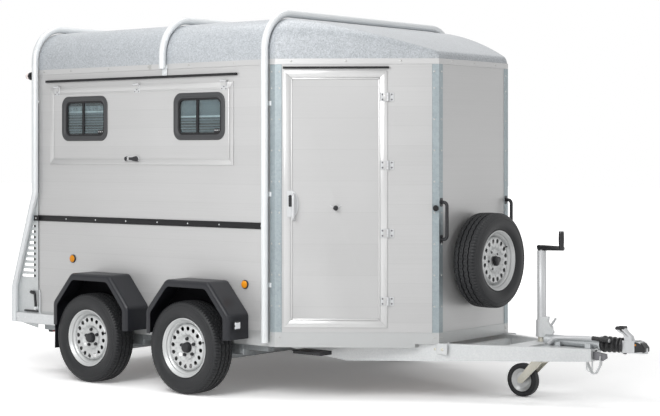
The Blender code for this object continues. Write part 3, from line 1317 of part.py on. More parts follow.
body_low, body_rear_top, body_front_top = HEAD_BODY_HEIGHTS
head_body = side_prism(
    head_points([(0, body_low), (HEAD_BODY_LENGTH, body_low), (HEAD_BODY_LENGTH, body_front_top), (0, body_rear_top)]),
    -HEAD_BODY_HALF, HEAD_BODY_HALF)
nose_plan = rounded(
    rectangle((HEAD_REAR_X + HEAD_NOSE_START, -HEAD_NOSE_HALF), (HEAD_NOSE_X, HEAD_NOSE_HALF)),
    [0, HEAD_NOSE_ROUND, HEAD_NOSE_ROUND, 0])
head_nose = plan_prism(nose_plan, COUPLING_Z + HEAD_NOSE_BOTTOM, COUPLING_Z + 2 * HEAD_NOSE_HALF)
top_start, top_end = HEAD_NOSE_TOP[0], HEAD_NOSE_TOP[-1]
side_table = [(top_start[0] - BITE, 2 * HEAD_NOSE_BOTTOM)] + [(top_start[0] - BITE, top_start[1])]
side_table += HEAD_NOSE_TOP + ((top_end[0] + BITE, top_end[1] - BITE), (top_end[0] + BITE, 2 * HEAD_NOSE_BOTTOM))
nose_shape = side_prism(head_points(side_table), -2 * HEAD_NOSE_HALF, 2 * HEAD_NOSE_HALF)
head_nose = combine(head_nose, "INTERSECT", [nose_shape])
loop = cut(side_prism(head_points(LOOP_OUTER), -LOOP_HALF, LOOP_HALF),
           side_prism(head_points(LOOP_INNER), -2 * LOOP_HALF, 2 * LOOP_HALF))
socket = turned(SOCKET, 16, (HEAD_NOSE_X - BALL_BACK, 0, COUPLING_Z), "z")
node(cut(weld(head_body, head_nose, loop), socket), "coupling_head", BRIGHT_STEEL)

# Handbrake lever: a bent bar beside the housing, pivoted on it, with its grip lying forward
lever_points = [(HOUSING_REAR_X + ahead, LEVER_Y, COUPLING_Z + above) for ahead, above in LEVER_PATH]
lever = tube(bend_path(lever_points, LEVER_BEND, 3), LEVER_RADIUS, 8)
pin_x, pin_z = HOUSING_REAR_X + LEVER_PIN[0], COUPLING_Z + LEVER_PIN[1]
lever_pin = rod((pin_x, LEVER_Y - BITE, pin_z), (pin_x, -HOUSING_RADIUS - SEAT, pin_z), LEVER_PIN_RADIUS, 8)
node(weld(lever, lever_pin), "handbrake_lever", BRIGHT_STEEL)


# Jockey wheel: outer tube in a clamp, crank on top, inner tube with its fork below
def on_jockey(x, y, z):
    """A point at these distances from the jockey tube's axis, at height z."""
    return (JOCKEY_X + x, JOCKEY_Y + y, z)


tube_low = plate_top + JOCKEY_TUBE_OVER_PLATE
tube_high = tube_low + JOCKEY_TUBE_LENGTH
insert_top = tube_low + JOCKEY_INSERT
crank_z = tube_high + CRANK_RISE
clamp_low = plate_top + SEAT
outer_tube = rod(on_jockey(0, 0, tube_low), on_jockey(0, 0, tube_high), JOCKEY_TUBE_RADIUS)
bore = rod(on_jockey(0, 0, tube_low - BITE), on_jockey(0, 0, insert_top + BITE), JOCKEY_BORE)
clamp_ring = rod(on_jockey(0, 0, tube_low + CLAMP_RISE), on_jockey(0, 0, tube_low + CLAMP_RISE + CLAMP_HEIGHT), CLAMP_RADIUS)
clamp_foot = block([JOCKEY_X + x for x in CLAMP_FOOT_X], [JOCKEY_Y + y for y in CLAMP_FOOT_Y],
                   (clamp_low, clamp_low + CLAMP_FOOT_HEIGHT))
clamp_lever = rod(*[on_jockey(x, y, clamp_low + z) for x, y, z in CLAMP_LEVER], CLAMP_LEVER_RADIUS, 8)
crank_post = rod(on_jockey(0, 0, tube_high - BITE), on_jockey(0, 0, crank_z + CRANK_POST_RADIUS), CRANK_POST_RADIUS, 14)
crank_arm = rod(on_jockey(-BITE, 0, crank_z), on_jockey(CRANK_REACH + BITE, 0, crank_z), CRANK_RADIUS, 10)
grip_low = crank_z - CRANK_POST_RADIUS
grip = rod(on_jockey(CRANK_REACH, 0, grip_low), on_jockey(CRANK_REACH, 0, grip_low + GRIP_LENGTH), GRIP_RADIUS, 12)
jockey_tube = cut(weld(outer_tube, clamp_ring, clamp_foot, clamp_lever, crank_post, crank_arm, grip), bore)
node(jockey_tube, "jockey_tube", GALVANISED)

fork_top = 2 * JOCKEY_RADIUS + FORK_OVER_WHEEL
fork_half = JOCKEY_WIDTH / 2 + FORK_SIDE_GAP
fork_out = fork_half + FORK_LEG
inner_tube = rod(on_jockey(0, 0, fork_top - BITE), on_jockey(0, 0, insert_top), JOCKEY_INNER_RADIUS)
bridge = block((JOCKEY_X - FORK_REAR, JOCKEY_X + FORK_FRONT), (JOCKEY_Y - fork_out, JOCKEY_Y + fork_out),
               (fork_top - FORK_BRIDGE, fork_top))
# Each corner: from the tube's axis, height
leg_outline = rounded([(JOCKEY_X + x, z) for x, z in (
    (-FORK_REAR, fork_top - BITE),
    (-JOCKEY_TRAIL - FORK_END, JOCKEY_WHEEL_Z + FORK_END / 2),
    (-JOCKEY_TRAIL - FORK_END, JOCKEY_WHEEL_Z - FORK_END),
    (-JOCKEY_TRAIL + FORK_END, JOCKEY_WHEEL_Z - FORK_END),
    (FORK_FRONT, fork_top - BITE),
)], [0, FORK_END / 2, FORK_END / 2, FORK_END / 2, 0], 2)
legs = [
    side_prism(leg_outline, JOCKEY_Y + side * fork_half, JOCKEY_Y + side * fork_out) for side in SIDES.values()
]
pin_ends = [on_jockey(-JOCKEY_TRAIL, side * (fork_out + BITE), JOCKEY_WHEEL_Z) for side in SIDES.values()]
wheel_pin = rod(*pin_ends, JOCKEY_PIN_RADIUS, 12)
node(weld(inner_tube, bridge, *legs, wheel_pin), "jockey_fork", GALVANISED, pivot=(JOCKEY_X, JOCKEY_Y, 0))
half_width = JOCKEY_WIDTH / 2
jockey_side = [
    (JOCKEY_PIN_RADIUS + LAP, half_width + JOCKEY_HUB_PROUD),
    (JOCKEY_HUB_RADIUS, half_width + JOCKEY_HUB_PROUD),
    (JOCKEY_HUB_RADIUS, half_width - JOCKEY_RIM_IN),
    (JOCKEY_RIM_RADIUS, half_width - JOCKEY_RIM_IN),
    (JOCKEY_RIM_RADIUS + BITE, half_width - LAP),
    (JOCKEY_RADIUS - JOCKEY_RIM_IN, half_width - LAP),
    (JOCKEY_RADIUS, half_width - JOCKEY_RIM_IN),
]
jockey_profile = jockey_side + [(radius, -along) for radius, along in reversed(jockey_side)]
jockey_centre = on_jockey(-JOCKEY_TRAIL, 0, JOCKEY_WHEEL_Z)
node(turned(jockey_profile, JOCKEY_STEPS, jockey_centre), "jockey_wheel", RUBBER, pivot=jockey_centre)
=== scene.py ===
import math

import bmesh
import bpy
import numpy as np
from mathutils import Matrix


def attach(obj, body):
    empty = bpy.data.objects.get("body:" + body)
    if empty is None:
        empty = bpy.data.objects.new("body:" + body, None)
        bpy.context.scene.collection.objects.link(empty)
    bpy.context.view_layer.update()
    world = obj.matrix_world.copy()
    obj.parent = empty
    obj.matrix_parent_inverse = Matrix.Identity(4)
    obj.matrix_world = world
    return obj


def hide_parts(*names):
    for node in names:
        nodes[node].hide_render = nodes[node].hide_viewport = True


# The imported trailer: its solids are the fixed frame that every piece below is fitted to.
# Lengths along X are measured from the side walls' rear edge, which stands at wall_rear_x.
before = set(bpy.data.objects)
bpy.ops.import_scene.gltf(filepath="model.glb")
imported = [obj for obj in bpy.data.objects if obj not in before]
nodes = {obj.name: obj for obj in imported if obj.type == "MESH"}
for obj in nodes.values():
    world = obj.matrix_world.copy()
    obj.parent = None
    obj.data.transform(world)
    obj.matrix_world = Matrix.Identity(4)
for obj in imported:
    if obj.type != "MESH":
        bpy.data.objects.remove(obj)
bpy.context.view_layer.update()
wall_rear_x = -2.04815

# Camera: a long lens at eye height, off the trailer's front right corner, held level.
# The frame is lowered by a lens shift, as a view camera's front is, so that uprights stay upright.
focal_px, image_px, horizon_px, middle_px = 1632.9, 660.0, 155.07, 208.0
lens = bpy.data.cameras.new("camera")
lens.sensor_width = 36.0
lens.lens = focal_px / image_px * lens.sensor_width
lens.shift_y = -(middle_px - horizon_px) / image_px
lens.clip_end = 100.0
camera = bpy.data.objects.new("camera", lens)
bpy.context.scene.collection.objects.link(camera)
camera_place, camera_turn = (9.055 + wall_rear_x, -8.8876, 1.5645), 38.89
camera.location = camera_place
camera.rotation_euler = (math.radians(90.0), 0.0, math.radians(camera_turn))
bpy.context.scene.camera = camera
bpy.context.scene.view_settings.view_transform = "Standard"

# Studio floor: a seamless pale sweep that runs out past every view, lit like the trailer near it.
# Seen directly it is paper white, whiter with distance, and it keeps the trailer's shadow.
weld_gap, flat_angle = 1e-5, math.radians(0.8)


def welded(mesh, flatten=False):
    """Welds a mesh's equal points, then turns its faces out, or joins those that lie flat together."""
    form = bmesh.new()
    form.from_mesh(mesh)
    bmesh.ops.remove_doubles(form, verts=form.verts, dist=weld_gap)
    if flatten:
        bmesh.ops.dissolve_limit(form, angle_limit=flat_angle, verts=form.verts, edges=form.edges)
    else:
        bmesh.ops.recalc_face_normals(form, faces=form.faces)
    form.to_mesh(mesh)
    form.free()
    return mesh


def mesh_of(name, shapes):
    """Joins shapes of (points, face tables) into one mesh, welds equal points and turns its faces out."""
    points, faces, count = [], [], 0
    for spots, tables in shapes:
        spots = np.asarray(spots, float).reshape(-1, 3)
        points.append(spots + (wall_rear_x, 0.0, 0.0))
        for table in tables:
            faces += (np.asarray(table) + count).tolist()
        count += len(spots)
    mesh = bpy.data.meshes.new(name)
    mesh.from_pydata(np.concatenate(points).tolist(), [], faces)
    return welded(mesh)


def put(tree, kind, inputs=None, **settings):
    """Adds a shader node, makes its settings, and gives each named input a value or a link."""
    made = tree.nodes.new("ShaderNode" + kind)
    for name, value in settings.items():
        setattr(made, name, value)
    for name, value in (inputs or {}).items():
        if isinstance(value, bpy.types.NodeSocket):
            tree.links.new(value, made.inputs[name])
        else:
            made.inputs[name].default_value = value
    return made


def maths(tree, operation, *values):
    """Adds a Math node over these values or links, and gives its result."""
    return put(tree, "Math", dict(enumerate(values)), operation=operation).outputs[0]


def seen_rays(tree):
    """Gives 1 to rays from the camera, off a mirror or through glass, and 0 to the light on the trailer."""
    ray = put(tree, "LightPath").outputs
    seen = maths(tree, "MAXIMUM", ray["Is Camera Ray"], ray["Is Glossy Ray"])
    return maths(tree, "MAXIMUM", seen, ray["Is Transmission Ray"])


def new_finish(name):
    """Starts a material, and gives it with its node tree and its shader's inputs."""
    material = bpy.data.materials.new(name)
    material.use_nodes = True
    return material, material.node_tree, material.node_tree.nodes["Principled BSDF"].inputs


floor_reach = 60.0
floor_corners = [(-floor_reach, -floor_reach, 0), (floor_reach, -floor_reach, 0)]
floor_corners += [(floor_reach, floor_reach, 0), (-floor_reach, floor_reach, 0)]
studio_floor = bpy.data.objects.new("studio_floor", mesh_of("studio_floor", [(floor_corners, [[[0, 1, 2, 3]]])]))
bpy.context.scene.collection.objects.link(studio_floor)
paper, tree, surface = new_finish("studio_paper")
surface["Roughness"].default_value = 0.9
surface["Specular IOR Level"].default_value = 0.0
surface["Emission Color"].default_value = (1.0, 1.0, 1.0, 1.0)
seen = seen_rays(tree)
lit_tone, seen_tone = (0.75, 0.75, 0.75, 1.0), (1.25, 1.25, 1.25, 1.0)
tint = put(tree, "MixRGB", {"Fac": seen, "Color1": lit_tone, "Color2": seen_tone})
tree.links.new(tint.outputs["Color"], surface["Base Color"])
from_middle = put(tree, "VectorMath", {0: put(tree, "TexCoord").outputs["Object"]}, operation="LENGTH")
shade_end, white_start, glow_near = 2.6, 6.5, 0.14
whiter = {"Value": from_middle.outputs["Value"], "From Min": shade_end, "From Max": white_start}
whiter = put(tree, "MapRange", whiter, interpolation_type="SMOOTHSTEP")
lifted = maths(tree, "MULTIPLY_ADD", whiter.outputs["Result"], 1.0 - glow_near, glow_near)
strength = maths(tree, "MULTIPLY", lifted, seen)
tree.links.new(strength, surface["Emission Strength"])
studio_floor.data.materials.append(paper)

# Studio air: even light from all round, as from a white tent over the whole set.
# It is white where it is seen directly, mirrored or through glass, and dimmer as light on the trailer.
world = bpy.data.worlds.new("studio")
bpy.context.scene.world = world
world.use_nodes = True
tree = world.node_tree
background = tree.nodes["Background"]
background.inputs["Color"].default_value = (1.0, 1.0, 1.0, 1.0)
air_light, air_white = 0.4, 1.0
level = put(tree, "MapRange", {"Value": seen_rays(tree), "To Min": air_light, "To Max": air_white})
tree.links.new(level.outputs["Result"], background.inputs["Strength"])

# Studio lamps: four large soft boxes, one on each side that the camera sees and one overhead.
# Columns: name, place, what it points at, width, height, power
soft_boxes = (
    ("side_box", (0.6, -4.2, 3.0), (-0.2, -1.0, 1.2), 2.2, 2.0, 104.0),
    ("nose_box", (7.0, -7.0, 4.0), (1.5, -0.5, 1.2), 3.0, 3.0, 34.0),
    ("front_box", (9.0, 2.2, 5.2), (1.0, 0.0, 1.0), 2.4, 2.4, 88.0),
    ("top_box", (-1.5, -0.5, 8.0), (-0.8, 0.0, 0.0), 7.0, 5.0, 240.0),
)
for name, place, aim, width, height, power in soft_boxes:
    lamp = bpy.data.lights.new(name, "AREA")
    lamp.shape = "RECTANGLE"
    lamp.size = width
    lamp.size_y = height
    lamp.energy = power
    box = bpy.data.objects.new(name, lamp)
    bpy.context.scene.collection.objects.link(box)
    box.location = place
    way = np.subtract(aim, place)
    spin = math.atan2(way[0], -way[1])
    lean = math.acos(-way[2] / np.linalg.norm(way))
    box.rotation_euler = (lean, 0.0, math.pi + spin)


# Chassis and axles: rails, cross members, axle tubes and trailing arms of folded and welded steel.
# All are hot-dip galvanised: dull grey zinc with faint spangles; their solids only take that finish.
def pattern(name):
    """Starts a pattern group: two tones, a scale and a roughness go in, and colour, roughness and height come out."""
    made = bpy.data.node_groups.new(name, "ShaderNodeTree")
    for label, kind in (("Light", "Color"), ("Dark", "Color"), ("Scale", "Float"), ("Rough", "Float")):
        made.interface.new_socket(name=label, in_out="INPUT", socket_type="NodeSocket" + kind)
    for label, kind in (("Color", "Color"), ("Roughness", "Float"), ("Height", "Float")):
        made.interface.new_socket(name=label, in_out="OUTPUT", socket_type="NodeSocket" + kind)
    place = made.nodes.new("ShaderNodeTexCoord").outputs["Object"]
    return made, made.nodes.new("NodeGroupInput").outputs, place


def close_pattern(group, given, share, rough_share, height):
    """Ends a pattern group: share runs the colour from dark to light, and rough_share is added to the roughness."""
    out = group.nodes.new("NodeGroupOutput").inputs
    tone = put(group, "MixRGB", {"Fac": share, "Color1": given["Dark"], "Color2": given["Light"]})
    group.links.new(tone.outputs["Color"], out["Color"])
    group.links.new(maths(group, "ADD", given["Rough"], rough_share), out["Roughness"])
    group.links.new(height, out["Height"])


def weighed(group, *pairs):
    """Adds up (share, weight) pairs and keeps the sum between 0 and 1."""
    total = 0.0
    for share, weight in pairs:
        total = maths(group, "ADD", total, maths(group, "MULTIPLY", share, weight))
    return put(group, "Clamp", {"Value": total}).outputs["Result"]


def noise(tree, place, scale, detail, roughness=0.5):
    """Cloudy noise over a place, from 0 to 1."""
    given = {"Vector": place, "Scale": scale, "Detail": detail, "Roughness": roughness}
    return put(tree, "TexNoise", given).outputs["Fac"]


def cells(tree, place, scale, grey=False):
    """Scattered cells over a place: the distance from each cell's middle, or one chance grey for each cell."""
    made = put(tree, "TexVoronoi", {"Vector": place, "Scale": scale}).outputs
    return put(tree, "RGBToBW", {"Color": made["Color"]}).outputs["Val"] if grey else made["Distance"]


def finish(name, group, light, dark, scale, roughness, metallic=0.0, relief=0.2, depth=0.001, shine=0.5,
           lacquer=(0.0, 0.03)):
    """A finish whose tone, roughness and relief come from a pattern group; plain values stay on its shader."""
    material, tree, surface = new_finish(name)
    values = {"Light": (*light, 1.0), "Dark": (*dark, 1.0), "Scale": scale, "Rough": roughness}
    tone = put(tree, "Group", values, node_tree=group)
    bump = put(tree, "Bump", {"Height": tone.outputs["Height"], "Strength": relief, "Distance": depth})
    tree.links.new(tone.outputs["Color"], surface["Base Color"])
    tree.links.new(tone.outputs["Roughness"], surface["Roughness"])
    tree.links.new(bump.outputs["Normal"], surface["Normal"])
    surface["Metallic"].default_value = metallic
    surface["Specular IOR Level"].default_value = shine
    surface["Coat Weight"].default_value, surface["Coat Roughness"].default_value = lacquer
    return material


def coat(material, *names):
    """Gives carried-over nodes this finish."""
    for name in names:
        for place in nodes[name].material_slots:
            place.material = material


spangle, given, place = pattern("zinc_spangle")
crystals = cells(spangle, place, given["Scale"], grey=True)
flakes = cells(spangle, place, maths(spangle, "MULTIPLY", given["Scale"], 2.7), grey=True)
cloud = noise(spangle, place, 9.0, 4.0)
share = weighed(spangle, (crystals, 0.45), (flakes, 0.25), (cloud, 0.5), (1.0, -0.08))
dull = maths(spangle, "MULTIPLY", maths(spangle, "SUBTRACT", crystals, 0.5), 0.16)
close_pattern(spangle, given, share, dull, cloud)
frame_zinc = finish("frame_zinc", spangle, (0.42, 0.44, 0.45), (0.24, 0.26, 0.27), 85.0, 0.5, 0.45, 0.1, 0.0005)
coat(frame_zinc, "chassis_frame", "axle_front", "axle_rear")

# Floor: a film-faced birch board in brown phenolic resin, seen from below and from inside.
# The film shows faint grain lines along the trailer and an even brown tone.
board, given, place = pattern("board_grain")
along_grain = put(board, "Mapping", {"Vector": place, "Scale": (1.0, 9.0, 9.0)}).outputs["Vector"]
grain = noise(board, along_grain, given["Scale"], 6.0, 0.6)
weave = cells(board, place, 420.0)
share = weighed(board, (grain, 1.1), (weave, 0.12), (1.0, -0.12))
close_pattern(board, given, share, maths(board, "MULTIPLY", weave, 0.2), weave)
board_brown = finish("board_brown", board, (0.15, 0.085, 0.05), (0.045, 0.025, 0.017), 6.0, 0.45, 0.0, 0.3, 0.0008)
coat(board_brown, "floor")


# Body frame: a folded skirt round the floor's edge, its corner posts and the rear side beams.
# Galvanised sheet, blind-riveted to the wall panels with domed rivets at a regular pitch.
def frame_at(origin, along, out, up=(0.0, 0.0, 1.0)):
    """Gives a function that sets (along, out, up) points against a wall whose zero point is origin."""
    axes = np.array([along, out, up], float)
    return lambda spots: np.asarray(origin, float) + np.asarray(spots, float) @ axes


def skinned(rings, closed=False):
    """Skins equal rings of points, one after the next, with a flat face over each open end."""
    rings = np.asarray(rings, float)
    index = np.arange(rings.shape[0] * rings.shape[1]).reshape(rings.shape[:2])
    here, there = (index, np.roll(index, -1, 0)) if closed else (index[:-1], index[1:])
    quads = np.stack([here, np.roll(here, -1, 1), np.roll(there, -1, 1), there], -1).reshape(-1, 4)
    return rings.reshape(-1, 3), [quads] if closed else [quads, index[:1], index[-1:]]


def turns(count, start=0.0):
    """Equal turns of a full circle, the first one start shares of a step on."""
    return 2 * math.pi * (np.arange(count) + start) / count


def circled(radius, turn, out):
    """Points round the out axis: radius by the turn's cosine along, radius by its sine up, at the out level."""
    along, up = radius * np.cos(turn), radius * np.sin(turn)
    return np.stack([along, np.broadcast_to(out, along.shape), up], -1)


def turned(profile, centre=(0, 0, 0), steps=48, closed=False):
    """Turns (radius, out) points round the out axis: each runs a circle of its radius, at its own level."""
    radius, out = np.array(profile, float).T[..., None]
    return skinned(circled(radius, turns(steps), out) + centre, closed)


def put_on(place, *shapes):
    """Sets shapes of (along, out, up) points in the trailer's frame."""
    return [(place(points), tables) for points, tables in shapes]


def domes(spots, radius, height, steps=10):
    """Domed heads on a wall's face, one at each (along, out, up) spot: a quarter round from rim to crown."""
    rise = np.linspace(0.0, math.pi / 2, 4)
    profile = [(0.0, -0.001)] + [(radius * math.cos(a), height * math.sin(a)) for a in rise[:-1]] + [(0.0, height)]
    profile.insert(1, (radius, -0.001))
    return [turned(profile, spot, steps) for spot in spots]


def fitted(name, mesh, material, body, replaces, crease, wall, edge, harden=False):
    """Makes a mesh ride on its body, smooth up to its crease angle, with a wall thickness or soft edges."""
    mesh.materials.clear()
    mesh.materials.append(material)
    mesh.shade_smooth()
    mesh.set_sharp_from_angle(angle=math.radians(crease))
    made = bpy.data.objects.new(name, mesh)
    bpy.context.scene.collection.objects.link(made)
    if wall:
        thickened = made.modifiers.new("wall", "SOLIDIFY")
        thickened.thickness = wall
        thickened.offset = 0.0
    if edge:
        softened = made.modifiers.new("edge", "BEVEL")
        softened.width = edge
        softened.segments = 2
        softened.angle_limit = math.radians(crease)
        softened.harden_normals = harden
    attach(made, body)
    if replaces:
        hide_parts(*replaces)


def piece(name, shapes, material, body="trailer", replaces=(), crease=35.0, wall=0.0, edge=0.0):
    """Joins shapes into one new piece and fits it to its body."""
    fitted(name, mesh_of(name, shapes), material, body, replaces, crease, wall, edge)


half, side_length, front_x, front_half = 1.015, 2.257, 3.094, 0.4
wall_top, roof_top = 2.14246, 2.45196
nose_way, nose_out, nose_length = (0.8058, 0.5921), (0.5921, -0.8058), 1.0387
walls = {
    "right": frame_at((0, -half, 0), (1, 0, 0), (0, -1, 0)),
    "left": frame_at((0, half, 0), (1, 0, 0), (0, 1, 0)),
    "nose_right": frame_at((side_length, -half, 0), (*nose_way, 0), (*nose_out, 0)),
    "nose_left": frame_at((side_length, half, 0), (nose_way[0], -nose_way[1], 0), (nose_out[0], -nose_out[1], 0)),
    "front": frame_at((front_x, 0, 0), (0, 1, 0), (1, 0, 0)),
    "rear": frame_at((0, 0, 0), (0, 1, 0), (-1, 0, 0)),
}
post_zinc = finish("post_zinc", spangle, (0.36, 0.41, 0.43), (0.24, 0.28, 0.3), 70.0, 0.42, 0.5, 0.05, 0.0004)
tree = post_zinc.node_tree
height_along = put(tree, "SeparateXYZ", {"Vector": put(tree, "TexCoord").outputs["Object"]}).outputs["Z"]
skirt_top, post_low = 0.435, 0.44
upright = put(tree, "MapRange", {"Value": height_along, "From Min": skirt_top, "From Max": post_low}).outputs["Result"]
blue_tone = tree.nodes["Principled BSDF"].inputs["Base Color"].links[0].from_socket
paler = put(tree, "MixRGB", {"Fac": 0.8, "Color1": blue_tone, "Color2": (0.49, 0.49, 0.485, 1.0)}).outputs["Color"]
tone = put(tree, "MixRGB", {"Fac": upright, "Color1": paler, "Color2": blue_tone}).outputs["Color"]
tree.links.new(tone, tree.nodes["Principled BSDF"].inputs["Base Color"])
coat(post_zinc, "body_frame")
rivet_alloy = finish("rivet_alloy", spangle, (0.52, 0.52, 0.51), (0.34, 0.34, 0.33), 300.0, 0.36, 0.6, 0.05, 0.0003)
post_face, leg_inset = 0.0043, 0.027
rivet_zs = [0.406, *(0.604 + 0.198 * np.arange(8)), 2.095]
side_legs, nose_legs = (side_length - leg_inset,), (leg_inset, nose_length - leg_inset)
front_legs = (leg_inset - front_half, front_half - leg_inset)
shapes = []
for wall_name, alongs in zip(walls, (side_legs, side_legs, nose_legs, nose_legs, front_legs)):
    spots = [(along, post_face, z) for along in alongs for z in rivet_zs]
    shapes += put_on(walls[wall_name], *domes(spots, 0.0062, 0.0034))
piece("post_rivets", shapes, rivet_alloy)

# Wall panels: hollow planks of anodised aluminium, slotted into each other and flush outside.
# The fine joints between the planks and the drawing lines along them stay just visible.
planks, given, place = pattern("drawn_planks")
height_along = put(planks, "SeparateXYZ", {"Vector": place}).outputs["Z"]
row = maths(planks, "DIVIDE", height_along, given["Scale"])
near_joint = maths(planks, "ABSOLUTE", maths(planks, "SUBTRACT", maths(planks, "FRACT", row), 0.5))
joint = put(planks, "MapRange", {"Value": near_joint, "From Min": 0.487, "From Max": 0.499}).outputs["Result"]
batch = put(planks, "TexWhiteNoise", {"W": maths(planks, "FLOOR", row)}, noise_dimensions="1D").outputs["Value"]
drawn = put(planks, "Mapping", {"Vector": place, "Scale": (1.4, 1.4, 330.0)}).outputs["Vector"]
lines = noise(planks, drawn, 1.0, 3.0)
cloud = noise(planks, place, 1.6, 2.0)
share = weighed(planks, (batch, 0.22), (lines, 0.55), (cloud, 0.45), (joint, -0.55), (1.0, -0.02))
dull = maths(planks, "MULTIPLY", maths(planks, "SUBTRACT", cloud, 0.5), 0.12)
relief = maths(planks, "SUBTRACT", maths(planks, "MULTIPLY", lines, 0.25), joint)
close_pattern(planks, given, share, dull, relief)
wall_alloy = finish("wall_alloy", planks, (0.54, 0.54, 0.54), (0.44, 0.44, 0.44), 0.125, 0.42, 0.35, 0.25, 0.0006)
front_alloy = finish("front_alloy", planks, (0.56, 0.56, 0.56), (0.47, 0.47, 0.47), 9.0, 0.4, 0.35, 0.1, 0.0004)
coat(wall_alloy, "side_wall_right", "side_wall_left", "nose_panel_right", "nose_panel_left")
coat(front_alloy, "front_panel")


# Drip rails: black rubber lips pressed over an edge above each flap and above the door.
# Soft extruded rubber with a rounded nose that throws the rain clear of the opening.
def at_level(outline, out):
    """Sets an outline's (along, up) points at one out level."""
    return np.stack([outline[:, 0], np.full(len(outline), out), outline[:, 1]], -1)


def plate(outline, low, high, edge=0.0):
    """Stretches an outline of (along, up) points between two out levels, with both rims drawn in by edge."""
    outline = np.array(outline, float)
    run = np.roll(outline, -1, 0) - outline
    run /= np.linalg.norm(run, axis=1)[:, None]
    away = np.stack([run[:, 1], -run[:, 0]], -1)
    before = np.roll(away, 1, 0)
    mitre = (away + before) / (1 + (away * before).sum(1))[:, None]
    steps = [(edge, low), (0.0, low + edge), (0.0, high - edge), (edge, high)] if edge else [(0, low), (0, high)]
    return skinned([at_level(outline - mitre * inset, level) for inset, level in steps])


def box_outline(low, high):
    """The outline of a rectangle between two (along, up) corners."""
    return [(low[0], low[1]), (high[0], low[1]), (high[0], high[1]), (low[0], high[1])]


def bar(along, out, up, edge=0.0):
    """A straight bar between three (low, high) pairs, its rims drawn in by edge."""
    return plate(box_outline((along[0], up[0]), (along[1], up[1])), out[0], out[1], edge)


def on_both_sides(*shapes):
    """Sets the same shapes of (along, out, up) points against the right and the left side wall."""
    return put_on(walls["right"], *shapes) + put_on(walls["left"], *shapes)


rubbed, given, place = pattern("moulded_grain")
grain = noise(rubbed, place, given["Scale"], 5.0, 0.65)
pits = cells(rubbed, place, maths(rubbed, "MULTIPLY", given["Scale"], 1.6))
cloud = noise(rubbed, place, 3.0, 3.0)
share = weighed(rubbed, (grain, 0.8), (pits, 0.25), (cloud, 0.5), (1.0, -0.3))
dull = maths(rubbed, "MULTIPLY", maths(rubbed, "SUBTRACT", grain, 0.5), 0.25)
relief = weighed(rubbed, (grain, 0.6), (pits, 0.5))
close_pattern(rubbed, given, share, dull, relief)
seal_rubber = finish("seal_rubber", rubbed, (0.02, 0.02, 0.022), (0.007, 0.007, 0.008), 260.0, 0.5, 0.0, 0.3,
                     shine=0.22)
drip_z, drip_ends, drip_half = 2.09196, (0.092, 1.933), 0.007
door_start, door_width, door_low, door_high = 0.053, 0.661, 0.46696, 2.10296
lip = bar((drip_ends[0] - 0.001, drip_ends[1] + 0.001), (-0.001, 0.0215),
          (drip_z - drip_half - 0.001, drip_z + drip_half + 0.001), 0.002)
door_lip = bar((door_start - 0.004, door_start + door_width + 0.01), (-0.001, 0.023),
               (door_high + 0.0115, door_high + 0.0245), 0.003)
piece("drip_rails", on_both_sides(lip) + put_on(walls["nose_right"], door_lip), seal_rubber)

# Side lamps: round amber reflex lamps, two on each wall, in a thin black rim.
# The lens is a shallow dome moulded with a prism grid behind its face.
ribbed, given, place = pattern("moulded_ribs")
grid = put(ribbed, "Mapping", {"Vector": place, "Rotation": (0.0, math.radians(45), math.radians(45))})
ribs = put(ribbed, "TexWave", {"Vector": grid.outputs["Vector"], "Scale": given["Scale"], "Distortion": 0.0})
prisms = cells(ribbed, place, maths(ribbed, "MULTIPLY", given["Scale"], 3.0))
share = weighed(ribbed, (ribs.outputs["Fac"], 0.6), (prisms, 0.6))
dull = maths(ribbed, "MULTIPLY", maths(ribbed, "SUBTRACT", prisms, 0.5), 0.1)
close_pattern(ribbed, given, share, dull, ribs.outputs["Fac"])
glossy = (0.6, 0.05)
amber_lens = finish("amber_lens", ribbed, (0.9, 0.36, 0.01), (0.62, 0.18, 0.004), 90.0, 0.32, 0.0, 0.3, shine=0.25)
lamp_places = ((0.364, 0.83), (2.001, 0.729))
lens_round = [(0.0, 0.0), (0.0245, 0.0), (0.0245, 0.012), (0.0215, 0.015), (0.014, 0.0172), (0.0, 0.0182)]
rim_round = [(0.0, 0.0), (0.0285, 0.0), (0.0285, 0.0075), (0.0262, 0.0095), (0.0, 0.0095)]
lenses = on_both_sides(*[turned(lens_round, (along, 0.0, z), 40) for along, z in lamp_places])
rims = on_both_sides(*[turned(rim_round, (along, 0.0, z), 40) for along, z in lamp_places])
piece("side_lamp_lenses", lenses, amber_lens, crease=50.0)
black_plastic = finish("black_plastic", rubbed, (0.024, 0.025, 0.028), (0.009, 0.009, 0.011), 320.0, 0.4, 0.0, 0.3,
                       shine=0.35)
piece("side_lamp_rims", rims, black_plastic)

# Roof: glass-fibre mouldings, a barrel over the horses and a falling shell over the nose.
# Grey gel coat with a granite speckle; the nose shell closes the front with a rounded edge.
roof_radius, roof_skin, split_x, arch_steps = 0.216, 0.006, 2.192, 20
nose_rise, nose_fall, nose_radius, front_edge = 0.0775, 1.45, 0.03, 0.026


def arch(x, half_width, top, radius):
    """The roof's section at x: up one side, round its corner, over the top and down the other side."""
    turn = np.linspace(0.0, math.pi / 2, arch_steps + 1)
    y = radius - half_width - radius * np.cos(turn)
    z = top - radius + radius * np.sin(turn)
    y = np.concatenate([[-half_width], y, -y[::-1], [half_width]])
    z = np.concatenate([[wall_top + 0.0003], z, z[::-1], [wall_top + 0.0003]])
    return np.stack([np.full(len(y), x), y, z], -1)


def shell(outer, inner):
    """Closes two equal sheets of sections into one skin: each arch point runs out along one and back the other."""
    loops = np.concatenate([outer, inner[::-1]]).transpose(1, 0, 2)
    return skinned(loops)


